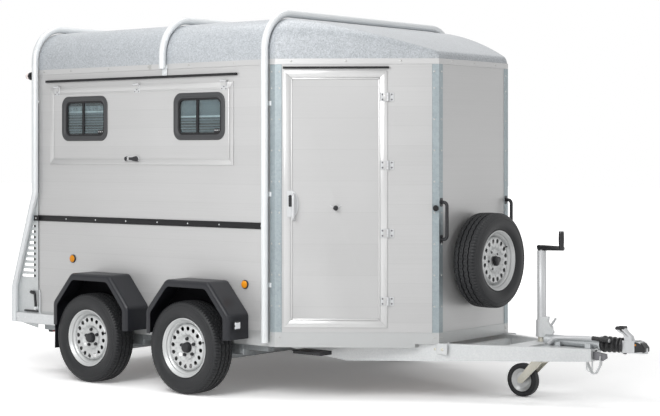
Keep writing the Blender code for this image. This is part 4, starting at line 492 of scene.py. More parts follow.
speckle, given, place = pattern("gel_coat_speckle")
fine = noise(speckle, place, given["Scale"], 2.0, 0.7)
flecks = cells(speckle, place, given["Scale"], grey=True)
cloud = noise(speckle, place, 2.2, 2.0)
share = weighed(speckle, (fine, 1.3), (flecks, 0.55), (cloud, 0.3), (1.0, -0.58))
close_pattern(speckle, given, share, maths(speckle, "MULTIPLY", flecks, 0.1), fine)
gel_coat = finish("gel_coat", speckle, (0.58, 0.61, 0.64), (0.28, 0.3, 0.32), 130.0, 0.34, 0.05, 0.1, 0.0006,
                  lacquer=(0.25, 0.2))
sheets = []
for skin in (0.0, roof_skin):
    ends = [0.0, 1.0, split_x - 0.0003]
    sheets.append(np.array([arch(x, half - skin, roof_top - skin, roof_radius - skin) for x in ends]))
piece("roof_rear_shell", [shell(*sheets)], gel_coat, replaces=["roof_rear"], crease=40.0)


def nose_section(x, drop, skin):
    """The falling roof at x: narrower with the nose, lower by a power of the way, its corner tighter."""
    share = (x - split_x) / (front_x - split_x)
    width = half + (front_half - half) * max(0.0, (x - side_length) / (front_x - side_length)) - skin
    top = roof_top + (nose_rise + wall_top - roof_top) * share**nose_fall - skin - drop
    return arch(x, width, top, nose_radius + (roof_radius - nose_radius) * (1 - share) ** 2 - skin)


sheets = []
for skin in (0.0, roof_skin):
    stations = [(split_x, 0.0)] + [(x, 0.0) for x in np.linspace(side_length, front_x - front_edge, 17)[:-1]]
    for turn in np.linspace(0.0, math.pi / 2, 7):
        reach = front_edge - skin
        stations.append((front_x - front_edge + reach * math.sin(turn), reach * (1 - math.cos(turn))))
    sheets.append(np.array([nose_section(x, drop, skin) for x, drop in stations]))
outer, inner = sheets
size = outer.shape[0] * outer.shape[1]
index = np.arange(size).reshape(outer.shape[:2])
skins = [np.stack([i[:-1, :-1], i[1:, :-1], i[1:, 1:], i[:-1, 1:]], -1).reshape(-1, 4) for i in (index, index + size)]
fronts = [index[-1:], index[-1:] + size]
rear_rim = np.stack([index[0, :-1], index[0, 1:], index[0, 1:] + size, index[0, :-1] + size], -1)
feet = [np.stack([i[:-1], i[1:], i[1:] + size, i[:-1] + size], -1) for i in (index[:, 0], index[:, -1])]
front_foot = np.array([[index[-1, 0], index[-1, -1], index[-1, -1] + size, index[-1, 0] + size]])
nose_points = np.concatenate([outer.reshape(-1, 3), inner.reshape(-1, 3)])
nose_shell = (nose_points, [*skins, *fronts, rear_rim, *feet, front_foot])
piece("roof_nose_shell", [nose_shell], gel_coat, replaces=["roof_nose"], crease=32.0)

# Roof band: an aluminium flange strip that laps the roof's foot over the walls all round.
# It is blind-riveted through both, with a lap joint in each long run.
band_alloy = finish("band_alloy", planks, (0.56, 0.56, 0.56), (0.46, 0.46, 0.46), 9.0, 0.36, 0.45, 0.1, 0.0004)
coat(band_alloy, "roof_band")
band_face, band_z = 0.0043, wall_top + 0.02
side_rivets, nose_rivets, front_rivets = (0.06, 0.343, 0.73, 1.119, 1.5, 1.908), (0.1, 0.45, 0.8), (-0.25, 0.0, 0.25)
shapes = []
for wall_name, alongs in zip(walls, (side_rivets, side_rivets, nose_rivets, nose_rivets, front_rivets)):
    shapes += put_on(walls[wall_name], *domes([(along, band_face, band_z) for along in alongs], 0.0072, 0.0036))
shapes += on_both_sides(bar((1.124, 1.152), (0.003, 0.0052), (wall_top + 0.001, wall_top + 0.0355), 0.0006))
piece("band_rivets", shapes, rivet_alloy)


# Hoops: bent steel tube over the roof, one at its middle and one from skirt to skirt at the nose.
# Bright new zinc, with a flattened foot where each end is bolted on.
def tube(path, radius, across, sides=20):
    """Carries a circle along a path: each ring stands square to the run, turned from the vector across."""
    path = np.array(path, float)
    run = np.gradient(path, axis=0)
    run /= np.linalg.norm(run, axis=1)[:, None]
    side = np.cross(run, across)
    side /= np.linalg.norm(side, axis=1)[:, None]
    up = np.cross(side, run)
    turn = turns(sides)[None, :, None]
    radius = np.reshape(radius, (-1, 1, 1))
    return skinned(path[:, None] + (side[:, None] * np.cos(turn) + up[:, None] * np.sin(turn)) * radius)


tube_radius, hoop_y = 0.0238, 1.0436
hoop_out = hoop_y - half


def hoop_line(x, foot):
    """A hoop's centre line at x: the roof's arch grown to the tube, from one foot to the other."""
    line = arch(x, hoop_y, roof_top + hoop_out, roof_radius + hoop_out)
    line[[0, -1], 2] = foot
    extra = line[[0, -1]] * 0.02 + line[[1, -2]] * 0.98
    return np.concatenate([line[:1], extra[:1], line[1:-1], extra[1:], line[-1:]])


hoop_zinc = finish("hoop_zinc", spangle, (0.76, 0.78, 0.79), (0.71, 0.735, 0.75), 40.0, 0.42, 0.2, 0.02, 0.0001)
across = (1.0, 0.0, 0.0)
middle_x = 1.279
piece("hoop_mid_tube", [tube(hoop_line(middle_x, wall_top + 0.003), tube_radius, across)], hoop_zinc,
      replaces=["hoop_mid"])
piece("hoop_front_tube", [tube(hoop_line(split_x, 0.367), tube_radius, across)], hoop_zinc,
      replaces=["hoop_front"])
clip_zs = (0.72, 1.3, 1.88)
foot = bar((middle_x - 0.022, middle_x + 0.022), (0.004, 0.0095), (wall_top - 0.055, wall_top + 0.03), 0.001)
heads = domes([(middle_x, 0.0095, wall_top - 0.03)], 0.007, 0.004)
clips = [bar((split_x - 0.036, split_x + 0.036), (0.0005, 0.006), (z, z + 0.03), 0.001) for z in clip_zs]
heads += domes([(split_x + dx, 0.006, z + 0.015) for z in clip_zs for dx in (-0.03, 0.03)], 0.004, 0.002)
piece("hoop_clips", on_both_sides(foot, *clips, *heads), hoop_zinc)


# Rear frame: the rear hoop's tube runs down, slants back past the ramp and ends low behind it.
# A laser-cut wing plate with ten slots fills the slant on each side; all one galvanised weldment.
def bent(corners, radius, steps=8):
    """Rounds a path's inner corners, each by an arc of the radius that touches both of its runs."""
    corners = np.array(corners, float)
    path = [corners[:1]]
    for before, corner, after in zip(corners, corners[1:], corners[2:]):
        back = (before - corner) / np.linalg.norm(before - corner)
        ahead = (after - corner) / np.linalg.norm(after - corner)
        half_angle = math.acos(np.clip(back @ ahead, -1.0, 1.0)) / 2
        if half_angle > 1.56 or radius <= 0:
            path.append(corner[None])
            continue
        middle = back + ahead
        centre = corner + middle / np.linalg.norm(middle) * radius / math.sin(half_angle)
        reach = radius / math.tan(half_angle)
        start, end = corner + back * reach - centre, corner + ahead * reach - centre
        sweep = math.pi - 2 * half_angle
        share = np.linspace(0.0, 1.0, steps + 1)[:, None]
        path.append(centre + (np.sin((1 - share) * sweep) * start + np.sin(share * sweep) * end) / math.sin(sweep))
    return np.concatenate(path + [corners[-1:]])


def rounded(outline, radius, steps=6):
    """Rounds every corner of a closed outline."""
    outline = [tuple(spot) for spot in outline]
    return bent([outline[-1]] + outline + [outline[0]], radius, steps)[1:-1]


kink_z, knee_z, rear_foot_z, foot_x, rear_hoop_x = 1.29096, 0.60796, 0.35196, -0.23, -0.01
arch_line = hoop_line(rear_hoop_x, kink_z)
foot_line = bent([(foot_x, -hoop_y, rear_foot_z), (foot_x, -hoop_y, knee_z), arch_line[0], arch_line[2]], 0.1, 8)[:-1]
rear_line = np.concatenate([foot_line, arch_line[2:-2], foot_line[::-1] * (1, -1, 1)])
piece("rear_frame_tube", [tube(rear_line, tube_radius, across)], hoop_zinc,
      replaces=["rear_frame"])
wing_out, wing = hoop_y - half - 0.0245, 0.004
wing_outline = [(0.0, 0.315), (0.0, kink_z), (rear_hoop_x, kink_z), (foot_x, knee_z), (foot_x, rear_foot_z + 0.002)]
slant = (rear_hoop_x - foot_x) / (kink_z - knee_z)
holes = []
slot_first, slot_pitch = kink_z - 0.241, 0.04
for row in range(10):
    z = slot_first - slot_pitch * row
    rear = foot_x + (z - knee_z) * slant + 0.03
    holes.append(rounded(box_outline((rear, z - 0.009), (-0.024, z + 0.009)), 0.0088, 5))


def pierced_plate(name, outline, cutouts, thickness):
    """A flat sheet with holes: filled closed outlines, stretched to the thickness and turned into a mesh."""
    drawn = bpy.data.curves.new(name, "CURVE")
    drawn.dimensions = "2D"
    drawn.fill_mode = "BOTH"
    drawn.extrude = thickness / 2
    for loop in [outline, *cutouts]:
        line = drawn.splines.new("POLY")
        line.points.add(len(loop) - 1)
        line.points.foreach_set("co", np.c_[np.array(loop), np.zeros(len(loop)), np.ones(len(loop))].ravel())
        line.use_cyclic_u = True
    holder = bpy.data.objects.new(name, drawn)
    bpy.context.scene.collection.objects.link(holder)
    flat = bpy.data.meshes.new_from_object(holder.evaluated_get(bpy.context.evaluated_depsgraph_get()))
    points = np.empty(len(flat.vertices) * 3)
    flat.vertices.foreach_get("co", points)
    faces = [[list(face.vertices)] for face in flat.polygons]
    bpy.data.objects.remove(holder)
    return points.reshape(-1, 3)[:, [0, 2, 1]], faces


points, faces = pierced_plate("wing", wing_outline, holes, wing)
bolts = domes([(-0.011, wing_out + wing, z) for z in (0.46, 0.7, 1.2)], 0.0045, 0.0022)
wing_zinc = finish("wing_zinc", spangle, (0.66, 0.68, 0.68), (0.48, 0.5, 0.51), 110.0, 0.5, 0.35, 0.1, 0.0005)
wings = on_both_sides((points + (0.0, wing_out + wing / 2, 0.0), faces), *bolts)
piece("rear_wings", wings, wing_zinc)
seal = bar((-0.054, -0.006), (-0.009, 0.004), (0.66, 1.075), 0.003)
piece("wing_seals", on_both_sides(seal), seal_rubber)

# Ramp fasteners: a black lever with a zinc eccentric and a black stop bar low on each wing.
# The lever is a bent flat grip that pulls the ramp's edge tight against the frame.
head = tube([(-0.066, 0.02, 0.571), (-0.06, 0.021, 0.573), (-0.03, 0.024, 0.571), (-0.022, 0.024, 0.569)],
            [0.01, 0.0125, 0.0135, 0.01], (0, 1, 0), 14)
lever = tube(bent([(-0.034, 0.024, 0.572), (-0.016, 0.024, 0.56), (-0.008, 0.024, 0.47)], 0.014, 5), 0.0095,
             (0, 1, 0), 14)
stop = bar((-0.14, 0.006), (0.008, 0.02), (0.43, 0.442), 0.002)
piece("ramp_levers", on_both_sides(head, lever, stop), black_plastic)
pin = turned([(0, 0.008), (0.012, 0.008), (0.012, 0.032), (0.01, 0.034), (0, 0.034)], (-0.008, 0.0, 0.458), 20)
guard = plate([(0.004, 0.4), (0.022, 0.4), (0.022, 0.565), (0.012, 0.59), (0.004, 0.59)], 0.0035, 0.007, 0.001)
piece("ramp_eccentrics", on_both_sides(pin, guard), hoop_zinc)

# Side beams: a short galvanised box beam low on each side, from the rear frame's foot to the fender.
# Its ends are closed by pressed caps; the frame's foot is bolted to it.
beam_zinc = finish("beam_zinc", spangle, (0.74, 0.75, 0.76), (0.58, 0.6, 0.61), 60.0, 0.4, 0.35, 0.1, 0.0005)
beam_face, bolt_z, bolt_xs = 0.044, 0.386, (-0.18, -0.1, 0.3)
beam = bar((-0.198, 0.368), (0.0042, beam_face), (0.35, 0.422), 0.003)
piece("side_beams", on_both_sides(beam), beam_zinc, edge=0.002)
heads = domes([(x, beam_face, bolt_z) for x in bolt_xs], 0.008, 0.005, 6)
piece("side_beam_bolts", on_both_sides(*heads), hoop_zinc)


# Ramp and header: the rear ramp and the arched panel above it, of the same planks as the walls.
# Each edge of the plank panel is closed by a softly broken aluminium rim.
def dressed(node, material, body="trailer", edge=0.0012, crease=30.0):
    """Replaces a node by a welded copy of itself, its flat faces joined and its edges softened."""
    mesh = nodes[node].data.copy()
    mesh.transform(nodes[node].matrix_world)
    fitted(node + "_dressed", welded(mesh, flatten=True), material, body, [node], crease, 0.0, edge, True)


dressed("ramp", wall_alloy, "ramp", 0.002)
dressed("rear_header", front_alloy, "trailer", 0.001)
ramp_half, sides = 0.985, []
for side in (-1, 1):
    lip = frame_at((0, side * ramp_half, 0), (1, 0, 0), (0, side, 0))
    sides += put_on(lip, bar((-0.051, -0.015), (-0.001, 0.011), (0.45, 1.94), 0.003))
piece("ramp_side_seals", sides, seal_rubber, "ramp")

# Flaps: a plank panel hung from its top edge in each side wall, with a broken rim all round.
# A mitred frame is set on its face; the panel's planks run through behind it.
flap_alloy = finish("flap_alloy", planks, (0.55, 0.55, 0.55), (0.45, 0.45, 0.45), 0.125, 0.38, 0.4, 0.25, 0.0006)
flap_start, flap_end, flap_low, flap_high, flap_face = 0.124, 1.901, 1.49796, 2.04496, 0.0045
frame_width, frame_rise = 0.037, 0.0014


def mitred_frame(low, high, width, base, top, edge):
    """Four strips round a rectangle, cut to a mitre at its corners, from the base to the top level."""
    (a, b), (c, d) = low, high
    w, gap = width, 0.0004
    strips = [
        [(a, b), (c, b), (c - w, b + w), (a + w, b + w)],
        [(c, b + gap), (c, d - gap), (c - w, d - w - gap), (c - w, b + w + gap)],
        [(c, d), (a, d), (a + w, d - w), (c - w, d - w)],
        [(a, d - gap), (a, b + gap), (a + w, b + w + gap), (a + w, d - w - gap)],
    ]
    return [plate(strip, base, top, edge) for strip in strips]


for name in ("right", "left"):
    body = "flap_" + name
    dressed(body, flap_alloy, body, 0.0022)
    low, high = (flap_start + 0.001, flap_low + 0.001), (flap_end - 0.001, flap_high - 0.004)
    strips = mitred_frame(low, high, frame_width, flap_face - 0.001, flap_face + frame_rise, 0.001)
    inner = frame_width - 0.001
    low, high = (low[0] + inner, low[1] + inner), (high[0] - inner, high[1] - inner)
    strips += mitred_frame(low, high, 0.0085, flap_face - 0.001, flap_face + 0.0042, 0.003)
    piece("flap_frame_" + name, put_on(walls[name], *strips), flap_alloy, body, crease=50.0)

# Flap hinges: three bright three-knuckle hinges along the top of each flap.
# Rolled leaves on one pin, each leaf held by a pair of dark countersunk screws.
bright_zinc = finish("bright_zinc", rubbed, (0.6, 0.61, 0.62), (0.55, 0.56, 0.57), 30.0, 0.42, 0.3, 0.02, 0.0001)
dark_screws = finish("dark_screws", spangle, (0.2, 0.2, 0.21), (0.1, 0.1, 0.11), 400.0, 0.4, 0.8, 0.05, 0.0003)
hinge_xs, knuckle_length, hinge_out, hinge_z = (0.204, 1.0125, 1.821), 0.055, 0.014, 2.049
leaf_face = flap_face + 0.0036
for name in ("right", "left"):
    flap_parts, middle_knuckles, screws = [], [], []
    for along in hinge_xs:
        for part in range(3):
            start = along - knuckle_length / 2 + part * knuckle_length / 3 + 0.0004
            ends = [start, start + 0.0012, start + knuckle_length / 3 - 0.002, start + knuckle_length / 3 - 0.0008]
            path = np.array([[end, hinge_out, hinge_z] for end in ends])
            knuckle = tube(path, [0.0068, 0.0082, 0.0082, 0.0068], (0, 1, 0), 16)
            (middle_knuckles if part == 1 else flap_parts).append(knuckle)
        for low, high in ((-0.028, -0.01), (-0.007, 0.007), (0.01, 0.028)):
            leaf = bar((along + low, along + high), (flap_face - 0.001, leaf_face), (1.99, hinge_z - 0.004), 0.001)
            flap_parts.append(leaf)
        spots = [(along + dx, leaf_face, z) for dx in (-0.019, 0.019) for z in (1.999, 2.03)]
        screws += domes(spots + [(along, leaf_face, 2.012)], 0.0048, 0.0014)
    for part, shapes, material in (("parts", flap_parts, bright_zinc), ("pins", middle_knuckles, bright_zinc),
                                   ("screws", screws, dark_screws)):
        shapes = put_on(walls[name], *shapes)
        piece("flap_hinge_%s_%s" % (part, name), shapes, material, "flap_" + name)

# Flap latches: a cast zinc base with a black turning knob and a folding black lever.
# The lever lies along the base when the flap is shut.
latch_x, latch_z = 0.958, 1.539
base = box_outline((latch_x - 0.066, latch_z - 0.0165), (latch_x + 0.072, latch_z + 0.0165))
base = plate(rounded(base, 0.014), 0.003, 0.01, 0.0015)
knob = turned([(0, 0.008), (0.0165, 0.008), (0.0165, 0.017), (0.014, 0.0225), (0, 0.0235)],
              (latch_x - 0.04, 0, latch_z), 28)
grip = [(-0.012, -0.01), (0.02, -0.013), (0.07, -0.019), (0.074, 0.004), (0.06, 0.019), (0.022, 0.012), (-0.012, 0.012)]
lever = plate(rounded(np.array(grip) + (latch_x, latch_z), 0.005), 0.0095, 0.0232, 0.003)
for name in ("right", "left"):
    body = "flap_" + name
    piece("flap_latch_base_" + name, put_on(walls[name], base), bright_zinc, body)
    piece("flap_latch_lever_" + name, put_on(walls[name], knob, lever), black_plastic, body)

# Windows: sliding two-pane windows in a wide moulded frame, two in each flap.
# Frame, rubber gasket, tinted panes, divider, a snap latch and dark slats with a pale rail behind.
window_frame = finish("window_frame", rubbed, (0.058, 0.06, 0.063), (0.034, 0.035, 0.038), 300.0, 0.42, 0.0, 0.25,
                      shine=0.35)
window_xs, window_z, window_half, window_corner = (0.488, 1.595), 1.821, (0.2325, 0.1575), 0.065
tinted, tree, surface = new_finish("tinted_glass")
smear = noise(tree, put(tree, "TexCoord").outputs["Object"], 7.0, 3.0)
smeared = put(tree, "MapRange", {"Value": smear, "To Min": 0.01, "To Max": 0.05})
tree.links.new(smeared.outputs["Result"], surface["Roughness"])
shade = {"Fac": smear, "Color1": (0.5, 0.58, 0.6, 1.0), "Color2": (0.6, 0.68, 0.7, 1.0)}
tree.links.new(put(tree, "MixRGB", shade).outputs["Color"], surface["Base Color"])
surface["Transmission Weight"].default_value = 0.92
surface["IOR"].default_value = 1.3
slat_grey = finish("slat_grey", planks, (0.27, 0.33, 0.35), (0.07, 0.09, 0.1), 0.05, 0.5, 0.2, 0.3, 0.0008)
band_grey = finish("band_grey", speckle, (0.62, 0.66, 0.68), (0.06, 0.08, 0.085), 75.0, 0.5, 0.0, 0.1, 0.0004)
light_line = finish("light_line", planks, (0.92, 0.95, 0.95), (0.8, 0.83, 0.84), 0.05, 0.35, 0.1, 0.1, 0.0004)


def window_loop(inset, steps=8):
    """The window's rounded outline, drawn in by an inset, about its own middle."""
    a, b = window_half[0] - inset, window_half[1] - inset
    return rounded(box_outline((-a, -b), (a, b)), window_corner - 0.6 * inset, steps)


def carried(sections):
    """Closes (inset, out) section points, each carried round the window's outline, into one moulded ring."""
    return skinned([at_level(window_loop(inset), out) for inset, out in sections], closed=True)


def moved(shape, along, up):
    """Shifts a shape along a wall and up it."""
    return shape[0] + np.array([along, 0.0, up]), shape[1]


moulding = [(0.0005, -0.005), (0.0, 0.0078), (0.002, 0.0105), (0.008, 0.0118), (0.022, 0.0118), (0.025, 0.01),
            (0.0262, 0.007), (0.032, 0.006), (0.035, 0.0045), (0.0365, 0.001), (0.0365, -0.005)]
gasket = [(0.0355, -0.014), (0.0355, 0.0025), (0.038, 0.0036), (0.044, 0.003), (0.0475, 0.0005), (0.0485, -0.014)]
pane_half = (window_half[0] - 0.038, window_half[1] - 0.038)
divider_x, rail_shares, upper_lines = -0.02, (0.7, 0.5), (0.06, 0.01)
line_first, line_pitch, rail_clear = 0.014, 0.0185, 0.012
line_halves = (0.0042, 0.003, 0.0048, 0.007, 0.0035, 0.003, 0.0042, 0.0025, 0.0015, 0.0015, 0.0015, 0.0015)
for name in ("right", "left"):
    body = "flap_" + name
    moulds, seals, panes, slats, bands, rails, dots = [], [], [], [], [], [], []
    for middle_x, rail_share, upper in zip(window_xs, rail_shares, upper_lines):
        moulds.append(moved(carried(moulding), middle_x, window_z))
        seals.append(moved(carried(gasket), middle_x, window_z))
        low = (middle_x - pane_half[0], window_z - pane_half[1])
        high = (middle_x + pane_half[0], window_z + pane_half[1])
        panes.append(plate(rounded(box_outline(low, high), 0.024), -0.0105, -0.0085))
        dividing, rail_z = middle_x + divider_x, low[1] + rail_share * (high[1] - low[1])
        seals.append(bar((dividing - 0.014, dividing + 0.006), (-0.0125, -0.001), (low[1], high[1]), 0.001))
        across = (low[0] + 0.006, high[0] - 0.006)
        rails.append(bar(across, (-0.018, -0.0145), (rail_z - 0.0055, rail_z + 0.0055), 0.0008))
        slats.append(bar((low[0] - 0.012, high[0] + 0.012), (-0.0245, -0.02), (low[1] - 0.012, high[1] + 0.012)))
        if rail_share == max(rail_shares):
            bands.append(bar((low[0] + 0.002, high[0] - 0.002), (-0.02, -0.016), (rail_z + 0.008, rail_z + 0.04)))
            seals.append(bar((low[0] + 0.002, high[0] - 0.002), (-0.02, -0.015), (rail_z + 0.041, high[1] + 0.004)))
        line_zs = low[1] + line_first + line_pitch * np.arange(len(line_halves))
        line_zs = line_zs[(np.abs(line_zs - rail_z) > rail_clear) & (line_zs < rail_z + upper)]
        for line_z, deep in zip(line_zs, line_halves):
            seals.append(bar((low[0] + 0.004, high[0] - 0.004), (-0.02, -0.0176), (line_z - deep, line_z + deep)))
        seals.append(plate(rounded(box_outline((high[0] - 0.066, low[1] + 0.006), (high[0] - 0.01, low[1] + 0.038)),
                                   0.01), -0.009, -0.002, 0.001))
        dots += domes([(high[0] - 0.056 + 0.018 * i, -0.0022, low[1] + 0.026) for i in range(3)], 0.005, 0.0016)
    stand_ins = ["window_%s_%s" % (end, name) for end in ("rear", "front")]
    moulds = put_on(walls[name], *moulds)
    piece("window_mouldings_" + name, moulds, window_frame, body, stand_ins, 60.0)
    # Columns: part, its shapes, material, slot
    for part, shapes, material, slot in (
        ("gaskets", seals, seal_rubber, "black_rubber"),
        ("panes", panes, tinted, "window_moulding"),
        ("slats", slats, slat_grey, "window_moulding"),
        ("bands", bands, band_grey, "window_moulding"),
        ("rails", rails, light_line, "bright_steel"),
        ("dots", dots, bright_zinc, "bright_steel"),
    ):
        piece("window_%s_%s" % (part, name), put_on(walls[name], *shapes), material, body)

# Side door: a plank panel in a broad aluminium frame, hung on the right nose panel.
# Its frame stands proud of the sunk panel; every edge is broken to catch the light.
door_alloy = finish("door_alloy", planks, (0.51, 0.51, 0.51), (0.44, 0.44, 0.44), 0.2, 0.36, 0.4, 0.15, 0.0005)
dressed("door", door_alloy, "door", 0.0016)
nose = walls["nose_right"]
low, high = (door_start + 0.0015, door_low + 0.0015), (door_start + door_width - 0.0015, door_high - 0.0015)
strips = mitred_frame(low, high, 0.044, 0.003, 0.006, 0.0012)
low, high = (low[0] + 0.044, low[1] + 0.044), (high[0] - 0.044, high[1] - 0.044)
strips += mitred_frame(low, high, 0.0135, -0.003, 0.0085, 0.004)
frame_alloy = finish("frame_alloy", planks, (0.59, 0.59, 0.59), (0.52, 0.52, 0.52), 9.0, 0.3, 0.4, 0.1, 0.0004)
piece("door_frame", put_on(nose, *strips), frame_alloy, "door", crease=50.0)

# Door hinges: four cast zinc hinges, a leaf on the door and a leaf on the wall round one pin.
# Bright knuckles, and two dark screws in each leaf.
hinge_t, door_hinge_zs = 0.716, (0.637, 1.069, 1.501, 1.933)
leaves, plates, screws, wall_screws = [], [], [], []
leaf_half, leaf_out, plate_out = 0.0275, 0.0115, 0.0048
for z in door_hinge_zs:
    leaves.append(bar((hinge_t - 0.046, hinge_t - 0.004), (0.0035, leaf_out), (z - leaf_half, z + leaf_half), 0.0015))
    for part in range(3):
        start = z - leaf_half + part * 0.0183 + 0.0004
        ends = [start, start + 0.0014, start + 0.0161, start + 0.0175]
        path = np.array([[hinge_t, 0.014, end] for end in ends])
        leaves.append(tube(path, [0.007, 0.0085, 0.0085, 0.007], (1, 0, 0), 16))
    upright = (z - leaf_half, z + leaf_half)
    plates.append(bar((hinge_t + 0.0045, hinge_t + 0.039), (0.0005, plate_out), upright, 0.0012))
    screws += domes([(hinge_t - 0.033, leaf_out, z + dz) for dz in (-0.016, 0.016)], 0.0062, 0.0012)
    wall_screws += domes([(hinge_t + 0.025, plate_out, z + dz) for dz in (-0.016, 0.016)], 0.0062, 0.0012)
for part, shapes, material, body in (("hinge_leaves", leaves, bright_zinc, "door"),
                                     ("hinge_plates", plates, bright_zinc, "trailer"),
                                     ("hinge_screws", screws, dark_screws, "door"),
                                     ("plate_screws", wall_screws, dark_screws, "trailer")):
    piece("door_" + part, put_on(nose, *shapes), material, body)

# Door handle: a crescent pull of cast zinc over an oval dished plate, with a black lock barrel.
# The pull's ends are rounded feet; the hand goes in from the panel's side.
handle_t, handle_low, handle_high, handle_out = 0.118, 1.155, 1.315, 0.042
pull = bent([(handle_t, 0.002, handle_low), (handle_t, handle_out, handle_low + 0.01),
             (handle_t, handle_out, handle_high - 0.01), (handle_t, 0.002, handle_high)], 0.024, 8)
share = np.linspace(-1.0, 1.0, len(pull))
piece("door_pull", put_on(nose, tube(pull, 0.0098 + 0.0015 * np.abs(share), (1, 0, 0), 18)), bright_zinc,
      "door")
turn = np.linspace(-math.pi / 2, math.pi / 2, 19)
curve = np.column_stack([0.108 + 0.042 * np.cos(turn), 1.254 + 0.084 * np.sin(turn)])
dish = plate(np.concatenate([[(0.0745, 1.338), (0.0745, 1.17)], curve]), -0.002, 0.011, 0.003)
piece("door_pull_plate", put_on(nose, dish), bright_zinc, "door")
hollow = plate(rounded(box_outline((0.086, 1.236), (0.107, 1.294)), 0.005), 0.009, 0.015, 0.0015)
barrel = turned([(0, 0.009), (0.011, 0.009), (0.011, 0.019), (0.0095, 0.0205), (0, 0.0205)], (0.0965, 0, 1.3), 24)
piece("door_lock", put_on(nose, hollow, barrel), black_plastic, "door")

# Door stop: a black ball on a pin, on a bow of zinc rod that springs off the door's face.
# The ball snaps into a clip on the wall when the door stands open.
stop_t, stop_z = 0.386, 1.228
bow = bent([(stop_t - 0.034, 0.0, stop_z + 0.016), (stop_t - 0.018, 0.01, stop_z + 0.004),
            (stop_t + 0.018, 0.01, stop_z + 0.004), (stop_t + 0.034, 0.0, stop_z + 0.016)], 0.012, 6)
piece("door_stop_bow", put_on(nose, tube(bow, 0.0035, (0, 0, 1), 12)), bright_zinc, "door")
ball = [(0.0, -0.001), (0.0118, -0.001), (0.0118, 0.011), (0.015, 0.016), (0.0162, 0.024), (0.0152, 0.0315),
        (0.0125, 0.0362), (0.008, 0.0376), (0.0, 0.0378)]
piece("door_stop_ball", put_on(nose, turned(ball, (stop_t, 0, stop_z), 28)), black_plastic, "door",
      crease=50.0)

# Rub strips: a ribbed black rubber strip along each side wall, with a thicker end block at the rear.
# It is held by bright screws, and a folded zinc cap closes the block.
strip_low, strip_high, strip_start, strip_end = 1.0895, 1.1305, 0.0005, 2.1675
profile = [(0.0003, strip_low), (0.0075, strip_low), (0.0105, strip_low + 0.003), (0.012, strip_low + 0.009),
           (0.0105, strip_low + 0.0125), (0.012, strip_low + 0.016), (0.012, strip_high - 0.016),
           (0.0105, strip_high - 0.0125), (0.012, strip_high - 0.009), (0.0105, strip_high - 0.003),
           (0.0075, strip_high), (0.0003, strip_high)]
ends = [(strip_start, 0.92), (strip_start + 0.004, 1.0), (strip_end - 0.004, 1.0), (strip_end, 0.92)]
strip_rubber = finish("strip_rubber", rubbed, (0.018, 0.018, 0.019), (0.006, 0.006, 0.007), 200.0, 0.5, 0.0, 0.3,
                      shine=0.22)
screw_xs = (0.303, 0.606, 0.909, 1.212, 1.497, 1.782, 2.148)
screw_z = (strip_low + strip_high) / 2
out, z = np.array(profile).T
strip = skinned([np.stack([np.full(len(out), x), out * grow, z], -1) for x, grow in ends])
block = bar((-0.028, 0.028), (0.019, 0.0292), (strip_low + 0.001, strip_high - 0.001), 0.002)
for name in ("right", "left"):
    piece("rub_strip_rubber_" + name, put_on(walls[name], strip, block), strip_rubber,
          replaces=["rub_strip_" + name])
screws = domes([(x, 0.0118, screw_z) for x in screw_xs] + [(0.0, 0.029, screw_z)], 0.0058, 0.0022, 14)
end_cap = bar((-0.03, -0.0235), (0.017, 0.03), (strip_low, strip_high), 0.001)
piece("rub_strip_screws", on_both_sides(*screws), bright_zinc)
piece("rub_strip_caps", on_both_sides(end_cap), post_zinc)

# Grab handles: two bent black-coated tubes on the front wall, on flat welded feet.
# Each foot has two pan-head screws.
grab_y, grab_low, grab_high, grab_out, grab_radius = 0.376, 1.03, 1.265, 0.047, 0.011
shapes, screws = [], []
for y in (-grab_y, grab_y):
    corners = [(y, 0.004, grab_low), (y, grab_out, grab_low), (y, grab_out, grab_high), (y, 0.004, grab_high)]
    line = bent(corners, 0.025, 8)
    shapes.append(tube(line, grab_radius, (1, 0, 0), 18))
    for z in (grab_low, grab_high):
        foot = rounded(box_outline((y - 0.016, z - 0.028), (y + 0.016, z + 0.028)), 0.008)
        shapes.append(plate(foot, 0.0003, 0.0053, 0.0012))
        screws += domes([(y, 0.0053, z + dz) for dz in (-0.02, 0.02)], 0.0045, 0.0022, 12)
piece("grab_handle_tubes", put_on(walls["front"], *shapes), black_plastic,
      replaces=["grab_handle_right", "grab_handle_left"])
piece("grab_handle_screws", put_on(walls["front"], *screws), dark_screws)

# Door buffer: a turned black rubber knob on the right nose panel, beside the front corner.
# The open door's handle side rests against its rounded end.
buffer_t, buffer_z = 1.02, 1.22796
knob = [(0.0, 0.003), (0.019, 0.003), (0.019, 0.0345), (0.018, 0.0366), (0.015, 0.0374), (0.0, 0.0378)]
piece("door_buffer", put_on(nose, turned(knob, (buffer_t, 0.0, buffer_z), 32)), seal_rubber)

# Fenders: four vacuum-formed plastic wheel housings, charcoal with a fine grain.
# A rolled lip runs round each wheel opening and the outer edge is rounded over.
fender_plastic = finish("fender_plastic", rubbed, (0.021, 0.022, 0.027), (0.011, 0.012, 0.015), 240.0, 0.36, 0.0, 0.25,
                        shine=0.3)
axle_xs, wheel_y, wheel_z = {"rear": 0.7, "front": 1.615}, 1.1145, 0.30536
fender_middle, reach, half_top, top_z, knee_z, low_z = 0.045, 0.364, 0.19, 0.74, 0.54, 0.386
# Painted shade: a near-black sheet on the wall inside each fender stands for the shadow in the wheel arch behind the
# tyre.
arch_shade_outline = np.array([(-reach, low_z), (reach, low_z), (reach, knee_z), (half_top, top_z), (-half_top, top_z),
                          (-reach, knee_z)])
arch_shade_sheets = []
for end, axle_x in axle_xs.items():
    for name in ("right", "left"):
        arch_shade_sheets += put_on(walls[name], plate(arch_shade_outline + (axle_x + fender_middle, 0.0), 0.0036, 0.0056))
        dressed("fender_%s_%s" % (end, name), fender_plastic, edge=0.004, crease=20.0)
